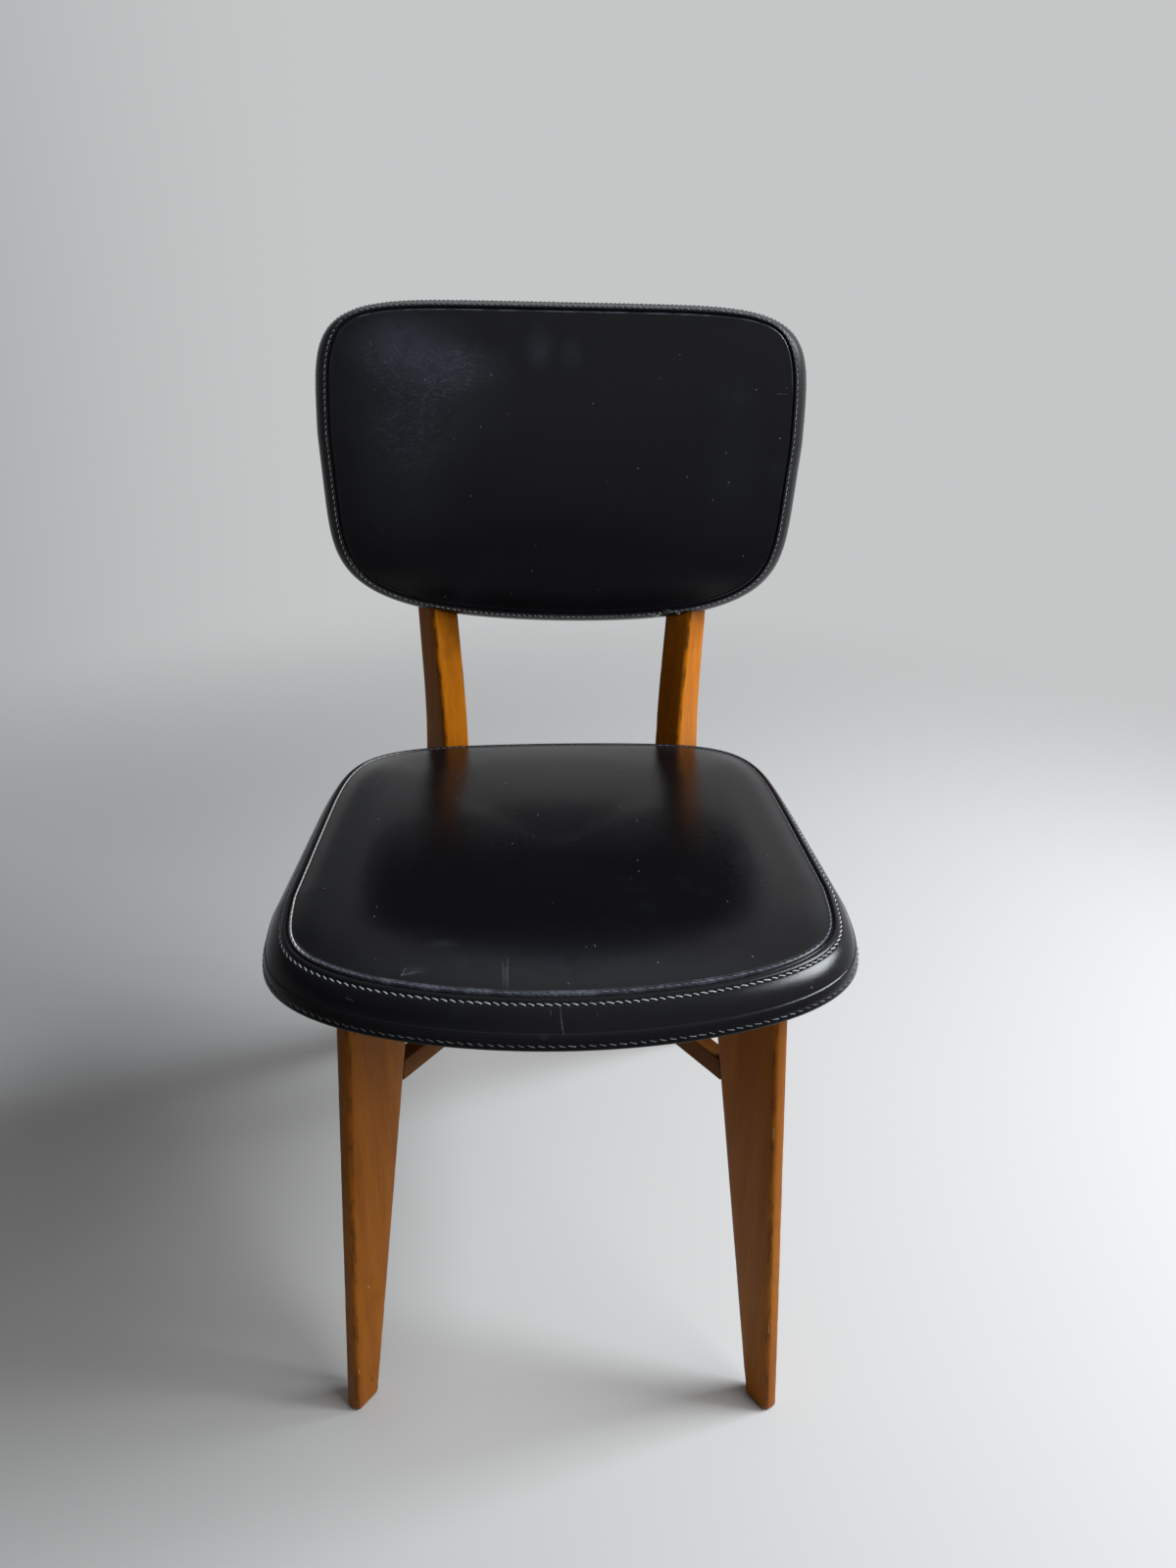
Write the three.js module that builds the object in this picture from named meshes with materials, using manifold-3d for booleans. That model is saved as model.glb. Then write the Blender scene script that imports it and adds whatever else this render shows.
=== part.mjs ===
// An upholstered dining chair: two crossing diagonal frames of varnished beech, four seat rails, and a seat and
// a back pad of plywood and foam sewn into black imitation leather. Millimetres, +Z up, the sitter faces -Y.
import * as THREE from "three";
import { mergeVertices } from "three/addons/utils/BufferGeometryUtils.js";
import Module from "manifold-3d";

const wasm = await Module();
wasm.setup();

// Sizes that everything shares
const fitGap = 0.3;
const coverThickness = 1.2;
const weltRadius = 1.8;
const weltSides = 6;
const domePower = 3.4;
const bandSteps = 5;
const overcut = 1;

// Seat pad, in plan from the front rim backwards
const seatDepth = 418;
const seatHalfWidth = 223;
const seatRearHalfWidth = 197;
const seatWidestY = 150;
const seatFrontSquareness = 6.5;
const seatRearSquareness = 6;
const seatFrontBow = 53;
const seatRearBow = 12;
const seatFrontFlare = 24;
const seatRearFlare = 11;
const seatRimZ = 424;
const seatBandHeight = 28;
const seatBandBulge = 0.77;
const seatCrown = 14;
const seatBoardThickness = 10;
const seatBoardMargin = 7;
const seatHemWidth = 18;
const seatFoamWaist = 0.42;
const seatFoamWaistRise = 0.45;
const seatCrook = 1.8;
const seatShift = -3;
const seatStations = 48;

// Back pad, in its own plane: width across, height up the pad, depth from the rear seam to the front seam
const backHeight = 276;
const backHalfWidth = 216.5;
const backLowHalfWidth = 205;
const backWidestHeight = 165;
const backBottomBow = 20;
const backBottomSquareness = 5;
const backTopSquareness = 6;
const backSideFlare = 15.5;
const backTopFlare = 5.5;
const backBottomFlare = 11.5;
const backDepth = 34;
const backBandBulge = 0.7;
const backCrown = 10;
const backRearCrown = 3;
const backBoardThickness = 10;
const backFoamRearShare = 0.25;
const backFoamBoardShare = 0.9;
const backBottomZ = 562;
const backSetback = 38;
const backLean = 7;
const backCrook = 1.1;
const backShift = -2;
const backStations = 44;

// Diagonal frames: reach is measured along the frame from where the show faces cross the centre line.
// The rear legs stand clear behind the seat, and splay is measured from their reach at the seat.
const frameTurn = 53.5;
const frameCrossingY = 265.8;
const frontLegThickness = 14;
const frontFootReach = 293;
const frontFootWidth = 26.5;
const frontTopReach = 256;
const frontTopWidth = 71.5;
const rearLegThickness = 28;
const postSetback = 0.5;
const rearFootSplay = 109;
const rearFootWidth = 24;
const rearKneeSplay = 19;
const rearKneeWidth = 50;
const rearSeatWidth = 37;
const postTopSplay = 3;
const postTopWidth = 29;
const postRise = 12;
const legEdgeRadius = 3.5;
const rearLegSteps = 14;
const soleChamfer = 1.6;

// Rails
const crossRailHeight = 18;
const crossRailThickness = 13;
const crossRailZ = 310;
const seatRailHeight = 32;
const seatRailThickness = 16;
const frontRailAdvance = 10.2;
const rearRailAdvance = 8;
const tenonHeight = 20;
const tenonThickness = 8;
const dowelRadius = 4;
const dowelLength = 32;

// Tongues that carry the back pad, and the screws
const tongueWidth = 26;
const tongueThickness = 13;
const tongueLength = 164;
const tongueRoot = 14;
const tonguePadding = 4.5;
const screwRadius = 2;
const screwHeadRadius = 4;
const screwHeadHeight = 2.4;
const seatScrewReach = 7;
const counterboreDepth = 12;
const sideScrewInset = 90;
const frontScrewSpacing = 120;
const backScrewMargin = 30;
const backScrewStop = 2.5;
const screwHeadSink = 0.8;

// Finishes
const vinyl = new THREE.MeshStandardMaterial({ color: 0x15161a, roughness: 0.42, metalness: 0 });
const piping = new THREE.MeshStandardMaterial({ color: 0x1d1e22, roughness: 0.5, metalness: 0 });
const beech = new THREE.MeshStandardMaterial({ color: 0x8a4d1c, roughness: 0.38, metalness: 0 });
const paleWood = new THREE.MeshStandardMaterial({ color: 0xc49a66, roughness: 0.7, metalness: 0 });
const plywood = new THREE.MeshStandardMaterial({ color: 0xb58f62, roughness: 0.75, metalness: 0 });
const foam = new THREE.MeshStandardMaterial({ color: 0xcbb684, roughness: 0.95, metalness: 0 });
const steel = new THREE.MeshStandardMaterial({ color: 0x8d8b86, roughness: 0.45, metalness: 0.9 });

// Heights and reaches that follow from the sizes
const seatSeamZ = seatRimZ + seatBandHeight;
const boardBottomZ = seatRimZ + coverThickness + fitGap;
const boardTopZ = boardBottomZ + seatBoardThickness;
const woodTopZ = boardBottomZ - fitGap;
const seatRailBottomZ = woodTopZ - seatRailHeight;
const crossRailMidZ = crossRailZ + crossRailHeight / 2;
const lerp = THREE.MathUtils.lerp;
const radians = THREE.MathUtils.degToRad;
const rearSeatReach =
  rearSeatWidth + (seatDepth + postSetback - frameCrossingY) / Math.sin(radians(frameTurn));
const rearFootReach = rearSeatReach + rearFootSplay;
const rearKneeReach = rearSeatReach + rearKneeSplay;
const postTopReach = rearSeatReach + postTopSplay;

// Solids and geometry
function toSolid(geometry, matrix = new THREE.Matrix4()) {
  const bare = geometry.clone().applyMatrix4(matrix);
  bare.deleteAttribute("normal");
  bare.deleteAttribute("uv");
  const merged = mergeVertices(bare, 1e-4);
  return new wasm.Manifold(
    new wasm.Mesh({
      numProp: 3,
      vertProperties: merged.attributes.position.array,
      triVerts: new Uint32Array(merged.index.array),
    }),
  );
}

function toGeometry(solid) {
  const mesh = solid.getMesh();
  const geometry = new THREE.BufferGeometry();
  geometry.setAttribute("position", new THREE.BufferAttribute(mesh.vertProperties, 3));
  geometry.setIndex(new THREE.BufferAttribute(mesh.triVerts, 1));
  return geometry;
}

// Joins equal loops of points into one closed surface: open ends are capped by fans, or the last loop meets the first
function loft(rings, wrap = false) {
  const count = rings[0].length;
  const positions = rings.flat().flatMap((p) => [p.x, p.y, p.z]);
  const faces = [];
  const spans = wrap ? rings.length : rings.length - 1;
  for (let r = 0; r < spans; r++) {
    const low = r * count;
    const high = ((r + 1) % rings.length) * count;
    for (let i = 0; i < count; i++) {
      const j = (i + 1) % count;
      faces.push(low + i, low + j, high + j, low + i, high + j, high + i);
    }
  }
  if (!wrap) {
    for (const [ring, start, turned] of [
      [rings[0], 0, true],
      [rings.at(-1), (rings.length - 1) * count, false],
    ]) {
      const hub = positions.length / 3;
      const middle = ring.reduce((sum, p) => sum.add(p), new THREE.Vector3()).divideScalar(count);
      positions.push(middle.x, middle.y, middle.z);
      for (let i = 0; i < count; i++) {
        const j = (i + 1) % count;
        faces.push(hub, start + (turned ? j : i), start + (turned ? i : j));
      }
    }
  }
  const geometry = new THREE.BufferGeometry();
  geometry.setAttribute("position", new THREE.Float32BufferAttribute(positions, 3));
  geometry.setIndex(faces);
  return geometry;
}

// A rounded rectangle between two corners, anticlockwise
function roundedLoop(x0, x1, y0, y1, radius, steps = 3) {
  const corners = [
    [x1 - radius, y0 + radius, -90],
    [x1 - radius, y1 - radius, 0],
    [x0 + radius, y1 - radius, 90],
    [x0 + radius, y0 + radius, 180],
  ];
  return corners.flatMap(([cx, cy, from]) =>
    Array.from({ length: steps }, (_, k) => {
      const angle = radians(from + (90 * k) / (steps - 1));
      return [cx + radius * Math.cos(angle), cy + radius * Math.sin(angle)];
    }),
  );
}

// The rounded trapezoid of a pad: a superellipse whose width tapers between two heights and whose ends are bowed.
// It returns evenly spaced points, anticlockwise from the middle of the far side, with their outward normals.
function padOutline({ low, high, halfWidth, lowBow, highBow, lowPower, highPower, stations }) {
  const middle = (low + high) / 2;
  const halfLength = (high - low) / 2;
  const inside = (x, y) => {
    const width = halfWidth(y);
    const bow = y < middle ? lowBow : highBow;
    const power = y < middle ? lowPower : highPower;
    const length = halfLength - bow * (x / width) ** 2;
    return Math.abs(x / width) ** power + Math.abs((y - middle) / length) ** power < 1;
  };
  const edge = (angle) => {
    let near = 0;
    let far = 2 * (halfLength + halfWidth(middle));
    for (let k = 0; k < 40; k++) {
      const reach = (near + far) / 2;
      if (inside(reach * Math.cos(angle), middle + reach * Math.sin(angle))) near = reach;
      else far = reach;
    }
    return new THREE.Vector3(near * Math.cos(angle), middle + near * Math.sin(angle), 0);
  };
  const fine = 8 * stations;
  const rough = Array.from({ length: fine }, (_, k) => edge(Math.PI / 2 + (2 * Math.PI * k) / fine));
  const curve = new THREE.CatmullRomCurve3(rough, true);
  curve.arcLengthDivisions = 4 * fine;
  const points = curve.getSpacedPoints(stations).slice(0, stations);
  return points.map((point, k) => {
    const before = points[(k + stations - 1) % stations];
    const after = points[(k + 1) % stations];
    const along = after.clone().sub(before).normalize();
    return { point, normal: new THREE.Vector3(along.y, -along.x, 0) };
  });
}

// How a bulging band runs from its seam (share 1, drop 0) to its rim (share 0, drop 1)
function bandCurve(bulge) {
  return Array.from({ length: bandSteps + 1 }, (_, k) => {
    const t = k / bandSteps;
    const share = (1 - t) ** 2 + 2 * t * (1 - t) * (1 - bulge);
    const drop = 2 * t * (1 - t) * (1 - bulge) + t * t;
    return { share, drop };
  });
}

// A countersunk screw, its point at the origin and its head down at -length, grown all over where it makes a hole
function screwGeometry(length, grow) {
  const foot = -length - grow;
  const profile = [
    [0, foot],
    [screwHeadRadius + grow, foot],
    [screwHeadRadius + grow, -length + screwHeadHeight / 3 + grow],
    [screwRadius + grow, -length + screwHeadHeight + 2 * grow],
    [screwRadius + grow, grow],
    [0, grow],
  ].map(([radius, height]) => new THREE.Vector2(radius, height));
  return new THREE.LatheGeometry(profile, 12).rotateX(Math.PI / 2);
}

// Seat pad
const seatOutline = padOutline({
  low: 0,
  high: seatDepth,
  halfWidth: (y) =>
    y < seatWidestY
      ? seatHalfWidth
      : lerp(seatHalfWidth, seatRearHalfWidth, (y - seatWidestY) / (seatDepth - seatWidestY)),
  lowBow: seatFrontBow,
  highBow: seatRearBow,
  lowPower: seatFrontSquareness,
  highPower: seatRearSquareness,
  stations: seatStations,
});
const seatFlare = (y) => lerp(seatFrontFlare, seatRearFlare, y / seatDepth);
const seatRing = (share, extra, z) =>
  seatOutline.map(({ point, normal }) => {
    const inset = share * seatFlare(point.y) + extra;
    return new THREE.Vector3(point.x - inset * normal.x, point.y - inset * normal.y, z);
  });
const seatCentre = new THREE.Vector3(0, seatDepth / 2, 0);
const domeShares = [1, 0.93, 0.8, 0.6, 0.3];
const domeRise = (share) => 1 - share ** domePower;

function seatDome(extra, edgeZ, crown) {
  const edge = seatRing(1, extra, edgeZ);
  return domeShares.map((share) =>
    edge.map((p) => {
      const point = p.clone().sub(seatCentre).multiplyScalar(share).add(seatCentre);
      point.z = edgeZ + crown * domeRise(share);
      return point;
    }),
  );
}

function seatTopPanel() {
  const edge = weltRadius + fitGap;
  const upper = seatDome(edge, seatSeamZ, seatCrown);
  const under = seatDome(edge, seatSeamZ - coverThickness, seatCrown).reverse();
  return loft([...under, ...upper]);
}

function seatBand() {
  const curve = bandCurve(seatBandBulge);
  const topZ = seatSeamZ - weltRadius / 2;
  const height = topZ - seatRimZ - coverThickness;
  const outer = curve.map(({ share, drop }) =>
    seatRing(share, -share * (weltRadius + fitGap), topZ - drop * height),
  );
  const inner = curve.map(({ share, drop }) =>
    seatRing(share, coverThickness - share * (weltRadius + fitGap), topZ - share * coverThickness - drop * height),
  );
  const hem = [
    seatRing(0, coverThickness, seatRimZ),
    seatRing(0, seatHemWidth, seatRimZ),
    seatRing(0, seatHemWidth, seatRimZ + coverThickness),
    seatRing(0, 2 * coverThickness, seatRimZ + coverThickness),
  ];
  inner.pop();
  return loft([...outer, ...hem, ...inner.reverse()].reverse(), true);
}

function seatWelt() {
  const rings = Array.from({ length: weltSides }, (_, k) => {
    const angle = (2 * Math.PI * k) / weltSides;
    return seatRing(1, -weltRadius * Math.cos(angle), seatSeamZ + weltRadius * Math.sin(angle));
  });
  return loft(rings, true);
}

function seatBoard() {
  return loft([seatRing(0, seatBoardMargin, boardBottomZ), seatRing(0, seatBoardMargin, boardTopZ)]);
}

function seatFoam() {
  const skin = 2 * coverThickness + weltRadius;
  const low = boardTopZ + fitGap;
  const high = seatSeamZ - coverThickness - fitGap - weltRadius / 2;
  const dome = seatDome(skin, high, seatCrown - coverThickness / 2);
  return loft([
    seatRing(0, seatBoardMargin + fitGap, low),
    seatRing(seatFoamWaist, coverThickness + fitGap, lerp(low, high, seatFoamWaistRise)),
    ...dome,
  ]);
}

// Back pad: x across, z up the pad, y behind the rear seam
const backOutline = padOutline({
  low: 0,
  high: backHeight,
  halfWidth: (v) =>
    v > backWidestHeight ? backHalfWidth : lerp(backLowHalfWidth, backHalfWidth, v / backWidestHeight),
  lowBow: backBottomBow,
  highBow: 0,
  lowPower: backBottomSquareness,
  highPower: backTopSquareness,
  stations: backStations,
});
const backRing = (share, extra, y) =>
  backOutline.map(({ point, normal }) => {
    const endFlare = normal.y > 0 ? backTopFlare : backBottomFlare;
    const x = point.x - normal.x * (share * backSideFlare + extra);
    const z = point.y - normal.y * (share * endFlare + extra);
    return new THREE.Vector3(x, y, z);
  });
const backCentre = new THREE.Vector3(0, 0, backHeight / 2);

function backDome(share, extra, edgeY, crown) {
  const edge = backRing(share, extra, edgeY);
  return domeShares.map((part) =>
    edge.map((p) => {
      const point = p.clone().sub(backCentre).multiplyScalar(part).add(backCentre);
      point.y = edgeY + crown * domeRise(part);
      return point;
    }),
  );
}

function backFrontPanel() {
  const edge = weltRadius + fitGap;
  const front = backDome(1, edge, -backDepth, -backCrown);
  const behind = backDome(1, edge, -backDepth + coverThickness, -backCrown).reverse();
  return loft([...behind, ...front]);
}

function backRearPanel() {
  const behind = backDome(0, 0, 0, backRearCrown).reverse();
  const front = backDome(0, 0, -coverThickness, backRearCrown);
  return loft([...behind, ...front]);
}

// Rings along the outside of the back band from the front seam to the rear seam, pushed out by some growth
function backBandSide(grow) {
  const frontY = -backDepth + weltRadius / 2;
  const run = -coverThickness - fitGap - frontY;
  const edge = weltRadius + fitGap;
  return bandCurve(backBandBulge).map(({ share, drop }) =>
    backRing(share, -grow - share * edge, frontY - share * grow + drop * run),
  );
}

function backBand() {
  return loft([...backBandSide(-coverThickness), ...backBandSide(0).reverse()], true);
}

function backWelt() {
  const rings = Array.from({ length: weltSides }, (_, k) => {
    const angle = (2 * Math.PI * k) / weltSides;
    return backRing(1, weltRadius * Math.cos(angle), -backDepth + weltRadius * Math.sin(angle));
  });
  return loft(rings, true);
}

const tongueFrontY = -tonguePadding - tongueThickness;
const boardRearY = tongueFrontY - fitGap;
const boardFrontY = boardRearY - backBoardThickness;
const backCore = 2 * coverThickness + weltRadius;

function backBoard() {
  return loft([backRing(1, backCore, boardRearY), backRing(1, backCore, boardFrontY)]);
}

function backFrontFoam() {
  const edgeY = -backDepth + coverThickness + fitGap;
  return loft([
    backRing(1, backCore, boardFrontY - fitGap),
    ...backDome(1, backCore, edgeY, -(backCrown - coverThickness / 2)),
  ]);
}

function backRearFoam() {
  const rearY = -coverThickness - fitGap;
  return loft([
    ...backDome(backFoamRearShare, backCore, rearY, backRearCrown - coverThickness / 2).reverse(),
    backRing(backFoamBoardShare, backCore, boardRearY + fitGap),
  ]);
}

// The whole outside of the back pad, a little larger, to shape what stands against it
function backEnvelope(grow) {
  return loft([
    backRing(0, -grow, backRearCrown + grow),
    ...backBandSide(grow).reverse(),
    backRing(1, -grow, -backDepth - backCrown - grow),
  ]);
}

// Diagonal frame, in its own plane: x along the frame towards the rear, y behind the show face, z up
const frameMatrix = new THREE.Matrix4()
  .makeTranslation(0, frameCrossingY, 0)
  .multiply(new THREE.Matrix4().makeRotationZ(radians(frameTurn)));

function upright(levels, thickness, grow) {
  return loft(
    levels.map(({ z, from, to, trim = 0 }) =>
      roundedLoop(
        from - grow + trim,
        to + grow - trim,
        -grow + trim,
        thickness + grow - trim,
        legEdgeRadius,
      ).map(([x, y]) => new THREE.Vector3(x, y, z)),
    ),
  );
}

function frontLeg(grow = 0) {
  const level = (z, trim) => {
    const share = z / woodTopZ;
    const outer = lerp(frontFootReach, frontTopReach, share);
    const width = lerp(frontFootWidth, frontTopWidth, share);
    return { z, from: -outer, to: width - outer, trim };
  };
  return upright(
    [level(0, soleChamfer), level(soleChamfer, 0), level(woodTopZ + grow, 0)],
    frontLegThickness,
    grow,
  );
}

// The rear edge and the width of a rear leg at a height, through the foot, knee, seat and post top
const rearHeights = [0, crossRailMidZ, seatSeamZ, backBottomZ + backBottomFlare + postRise];
const rearEdge = new THREE.CatmullRomCurve3(
  [rearFootReach, rearKneeReach, rearSeatReach, postTopReach].map(
    (reach, k) => new THREE.Vector3(reach, 0, rearHeights[k]),
  ),
);
const rearWidth = new THREE.CatmullRomCurve3(
  [rearFootWidth, rearKneeWidth, rearSeatWidth, postTopWidth].map(
    (width, k) => new THREE.Vector3(width, 0, rearHeights[k]),
  ),
);

function rearLeg(grow = 0) {
  const levels = Array.from({ length: rearLegSteps + 1 }, (_, k) => {
    const edge = rearEdge.getPoint(k / rearLegSteps);
    const width = rearWidth.getPoint(k / rearLegSteps).x;
    return { z: edge.z, from: edge.x - width, to: edge.x };
  });
  const sole = { ...levels[0], trim: soleChamfer };
  levels[0].z = soleChamfer;
  return upright([sole, ...levels], rearLegThickness, grow);
}

const box = (x0, x1, y0, y1, z0, z1) =>
  new THREE.BoxGeometry(x1 - x0, y1 - y0, z1 - z0).translate((x0 + x1) / 2, (y0 + y1) / 2, (z0 + z1) / 2);
const mirrorX = new THREE.Matrix4().makeScale(-1, 1, 1);
const mirrored = (solid) => solid.mirror([1, 0, 0]);

// Solids in the chair's own frame: the frame whose front leg is on the left, and its mirror image
const frontLeftLeg = toSolid(frontLeg(), frameMatrix);
const rearRightLeg = toSolid(rearLeg(), frameMatrix);
const frontLeftHold = toSolid(frontLeg(fitGap), frameMatrix);
const rearRightHold = toSolid(rearLeg(fitGap), frameMatrix);
const holds = [frontLeftHold, rearRightHold, mirrored(frontLeftHold), mirrored(rearRightHold)];

// Where the middle of a leg stands in plan at a height
function legMiddle(reach, thickness) {
  return new THREE.Vector3(reach, thickness / 2, 0).applyMatrix4(frameMatrix);
}
const seatRailMidZ = seatRailBottomZ + seatRailHeight / 2;
const frontShare = seatRailMidZ / woodTopZ;
const frontMiddleReach =
  lerp(frontFootReach, frontTopReach, frontShare) - lerp(frontFootWidth, frontTopWidth, frontShare) / 2;
const frontMiddle = legMiddle(-frontMiddleReach, frontLegThickness);
const rearMiddle = legMiddle(rearSeatReach - rearSeatWidth / 2, rearLegThickness);

// A seat rail from one leg's middle to another's, coped round both, with a tenon that runs on into each leg
function seatRail(x0, y0, x1, y1) {
  const start = new THREE.Vector3(x0, y0, 0);
  const end = new THREE.Vector3(x1, y1, 0);
  const length = start.distanceTo(end);
  const place = new THREE.Matrix4()
    .makeTranslation((start.x + end.x) / 2, (start.y + end.y) / 2, 0)
    .multiply(new THREE.Matrix4().makeRotationZ(Math.atan2(end.y - start.y, end.x - start.x)));
  const bar = (width, low, high, grow) =>
    toSolid(
      box(-length / 2 - grow, length / 2 + grow, -width / 2 - grow, width / 2 + grow, low - grow, high + grow),
      place,
    );
  const tenonLow = seatRailMidZ - tenonHeight / 2;
  const body = holds.reduce(
    (solid, hold) => solid.subtract(hold),
    bar(seatRailThickness, seatRailBottomZ, woodTopZ, 0),
  );
  const tenon = bar(tenonThickness, tenonLow, tenonLow + tenonHeight, 0);
  return {
    solid: body.add(tenon),
    mortise: bar(tenonThickness, tenonLow, tenonLow + tenonHeight, fitGap),
    clearance: bar(seatRailThickness, seatRailBottomZ, woodTopZ, fitGap),
    place,
    length,
  };
}

const legX = (y, leg) => leg.x + (y - leg.y) / Math.tan(radians(frameTurn));
const frontRailMidY = frontMiddle.y - frontRailAdvance;
const rearRailMidY = rearMiddle.y - rearRailAdvance;
const frontRailX = legX(frontRailMidY, frontMiddle);
const rearRailX = legX(rearRailMidY, rearMiddle);
const seatRails = {
  front_seat_rail: seatRail(frontRailX, frontRailMidY, -frontRailX, frontRailMidY),
  rear_seat_rail: seatRail(-rearRailX, rearRailMidY, rearRailX, rearRailMidY),
  left_seat_rail: seatRail(frontMiddle.x, frontMiddle.y, -rearMiddle.x, rearMiddle.y),
  right_seat_rail: seatRail(-frontMiddle.x, frontMiddle.y, rearMiddle.x, rearMiddle.y),
};

// Crossing rails, half-lapped where they meet, each end coped to its leg and doweled into it
const railInset = (frontLegThickness - crossRailThickness) / 2;
const kneeFrontReach = rearKneeReach - rearKneeWidth;
const crossShare = crossRailMidZ / woodTopZ;
const legInnerReach =
  lerp(frontFootReach, frontTopReach, crossShare) - lerp(frontFootWidth, frontTopWidth, crossShare);
function crossBar(low, high, grow) {
  const span = box(
    -legInnerReach - frontFootWidth / 2,
    kneeFrontReach + rearFootWidth / 2,
    railInset - grow,
    railInset + crossRailThickness + grow,
    low - grow,
    high + grow,
  );
  return toSolid(span, frameMatrix);
}

function dowel(reach, grow) {
  const rod = new THREE.CylinderGeometry(dowelRadius + grow, dowelRadius + grow, dowelLength + 2 * grow, 12);
  rod.rotateZ(Math.PI / 2).translate(reach, railInset + crossRailThickness / 2, crossRailMidZ);
  return toSolid(rod, frameMatrix);
}
const dowelReaches = { front: -legInnerReach, rear: kneeFrontReach };
const dowelHoles = Object.values(dowelReaches).map((reach) => dowel(reach, fitGap));
const crossRailTopZ = crossRailZ + crossRailHeight;
const drill = (solid, tools) => tools.reduce((left, tool) => left.subtract(tool), solid);
const lowerHalf = crossBar(crossRailZ - overcut, crossRailMidZ, fitGap / 2);
const upperHalf = crossBar(crossRailMidZ, crossRailTopZ + overcut, fitGap / 2);
const plainCrossRail = drill(crossBar(crossRailZ, crossRailTopZ, 0), [
  frontLeftHold,
  rearRightHold,
  ...dowelHoles,
]);
const crossRailLow = plainCrossRail.subtract(mirrored(upperHalf));
const crossRailHigh = mirrored(plainCrossRail).subtract(lowerHalf);

// Back pad in place: leaning back, and turned a little in its own plane
const leanMatrix = new THREE.Matrix4()
  .makeTranslation(0, seatDepth + backSetback, backBottomZ)
  .multiply(new THREE.Matrix4().makeRotationX(radians(-backLean)));
const crookMatrix = new THREE.Matrix4()
  .makeTranslation(backShift, 0, backHeight / 2)
  .multiply(new THREE.Matrix4().makeRotationY(radians(backCrook)))
  .multiply(new THREE.Matrix4().makeTranslation(0, 0, -backHeight / 2));
const padMatrix = leanMatrix.clone().multiply(crookMatrix);

// Tongue of the right post: it runs up inside the pad, flat against the rear of the plywood
const postMiddle = legMiddle(postTopReach - postTopWidth / 2, rearLegThickness);
function tongue(grow) {
  const blade = box(
    postMiddle.x - tongueWidth / 2 - grow,
    postMiddle.x + tongueWidth / 2 + grow,
    tongueFrontY - grow,
    tongueFrontY + tongueThickness + grow,
    -tongueRoot - grow,
    tongueLength + grow,
  );
  return toSolid(blade, leanMatrix);
}
const padHold = toSolid(backEnvelope(fitGap), padMatrix);
const tongueHoles = [tongue(fitGap), mirrored(tongue(fitGap))];

// Back screws: through each tongue into the plywood, their heads let into the rear of the tongue
function backScrew(side, height, grow) {
  const length = tongueFrontY + tongueThickness - screwHeadSink - boardFrontY - backScrewStop;
  const shape = screwGeometry(length, grow).rotateX(Math.PI / 2);
  shape.translate(side * postMiddle.x, boardFrontY + backScrewStop, height);
  return toSolid(shape, leanMatrix);
}
const backScrewHeights = [backBottomFlare + backScrewMargin, tongueLength - backScrewMargin];
const backScrewPlaces = [-1, 1].flatMap((side) => backScrewHeights.map((height) => [side, height]));
const backScrewHoles = backScrewPlaces.map(([side, height]) => backScrew(side, height, fitGap));

// Seat screws: up through counterbored holes in the rails into the plywood
const seatScrewSpots = [
  ...[-1, 1].map((side) => [seatRails.front_seat_rail, (side * frontScrewSpacing) / 2]),
  ...["left_seat_rail", "right_seat_rail"].flatMap((name) =>
    [-1, 1].map((side) => [seatRails[name], side * (seatRails[name].length / 2 - sideScrewInset)]),
  ),
].map(([beam, along]) => new THREE.Vector3(along, 0, 0).applyMatrix4(beam.place));
function seatScrew(spot, grow) {
  const length = seatRailHeight - counterboreDepth + seatScrewReach;
  return toSolid(screwGeometry(length, grow).translate(spot.x, spot.y, woodTopZ + seatScrewReach));
}
function counterbore(spot) {
  const radius = screwHeadRadius + fitGap;
  const depth = counterboreDepth + overcut;
  const bore = new THREE.CylinderGeometry(radius, radius, depth, 12).rotateX(Math.PI / 2);
  return toSolid(bore.translate(spot.x, spot.y, seatRailBottomZ + counterboreDepth - depth / 2));
}
const seatScrewHoles = seatScrewSpots.flatMap((spot) => [seatScrew(spot, fitGap), counterbore(spot)]);

// Every sub-part, by name
const chair = new THREE.Group();
const woodFrame = new THREE.Group();
const seatPad = new THREE.Group();
const backPad = new THREE.Group();
chair.add(woodFrame, seatPad, backPad);

function addSolid(group, name, solid, material) {
  const mesh = new THREE.Mesh(toGeometry(solid), material);
  mesh.name = name;
  group.add(mesh);
}

const mortises = Object.values(seatRails).map(({ mortise }) => mortise);
const legCuts = [...mortises, ...dowelHoles, ...dowelHoles.map(mirrored)];
addSolid(woodFrame, "front_left_leg", drill(frontLeftLeg, legCuts), beech);
addSolid(woodFrame, "front_right_leg", drill(mirrored(frontLeftLeg), legCuts), beech);
const rearCuts = [...legCuts, ...backScrewHoles];
const rightPost = rearRightLeg.subtract(padHold).add(tongue(0));
const leftPost = mirrored(rearRightLeg).subtract(padHold).add(mirrored(tongue(0)));
addSolid(woodFrame, "rear_right_leg", drill(rightPost, rearCuts), beech);
addSolid(woodFrame, "rear_left_leg", drill(leftPost, rearCuts), beech);
for (const [name, { solid }] of Object.entries(seatRails)) {
  addSolid(woodFrame, name, drill(solid, seatScrewHoles), beech);
}
addSolid(woodFrame, "cross_rail_low", crossRailLow, beech);
addSolid(woodFrame, "cross_rail_high", crossRailHigh, beech);
for (const [end, own, other] of [["front", "left", "right"], ["rear", "right", "left"]]) {
  const pin = dowel(dowelReaches[end], 0);
  addSolid(woodFrame, `${end}_${own}_dowel`, pin, paleWood);
  addSolid(woodFrame, `${end}_${other}_dowel`, mirrored(pin), paleWood);
}

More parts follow.
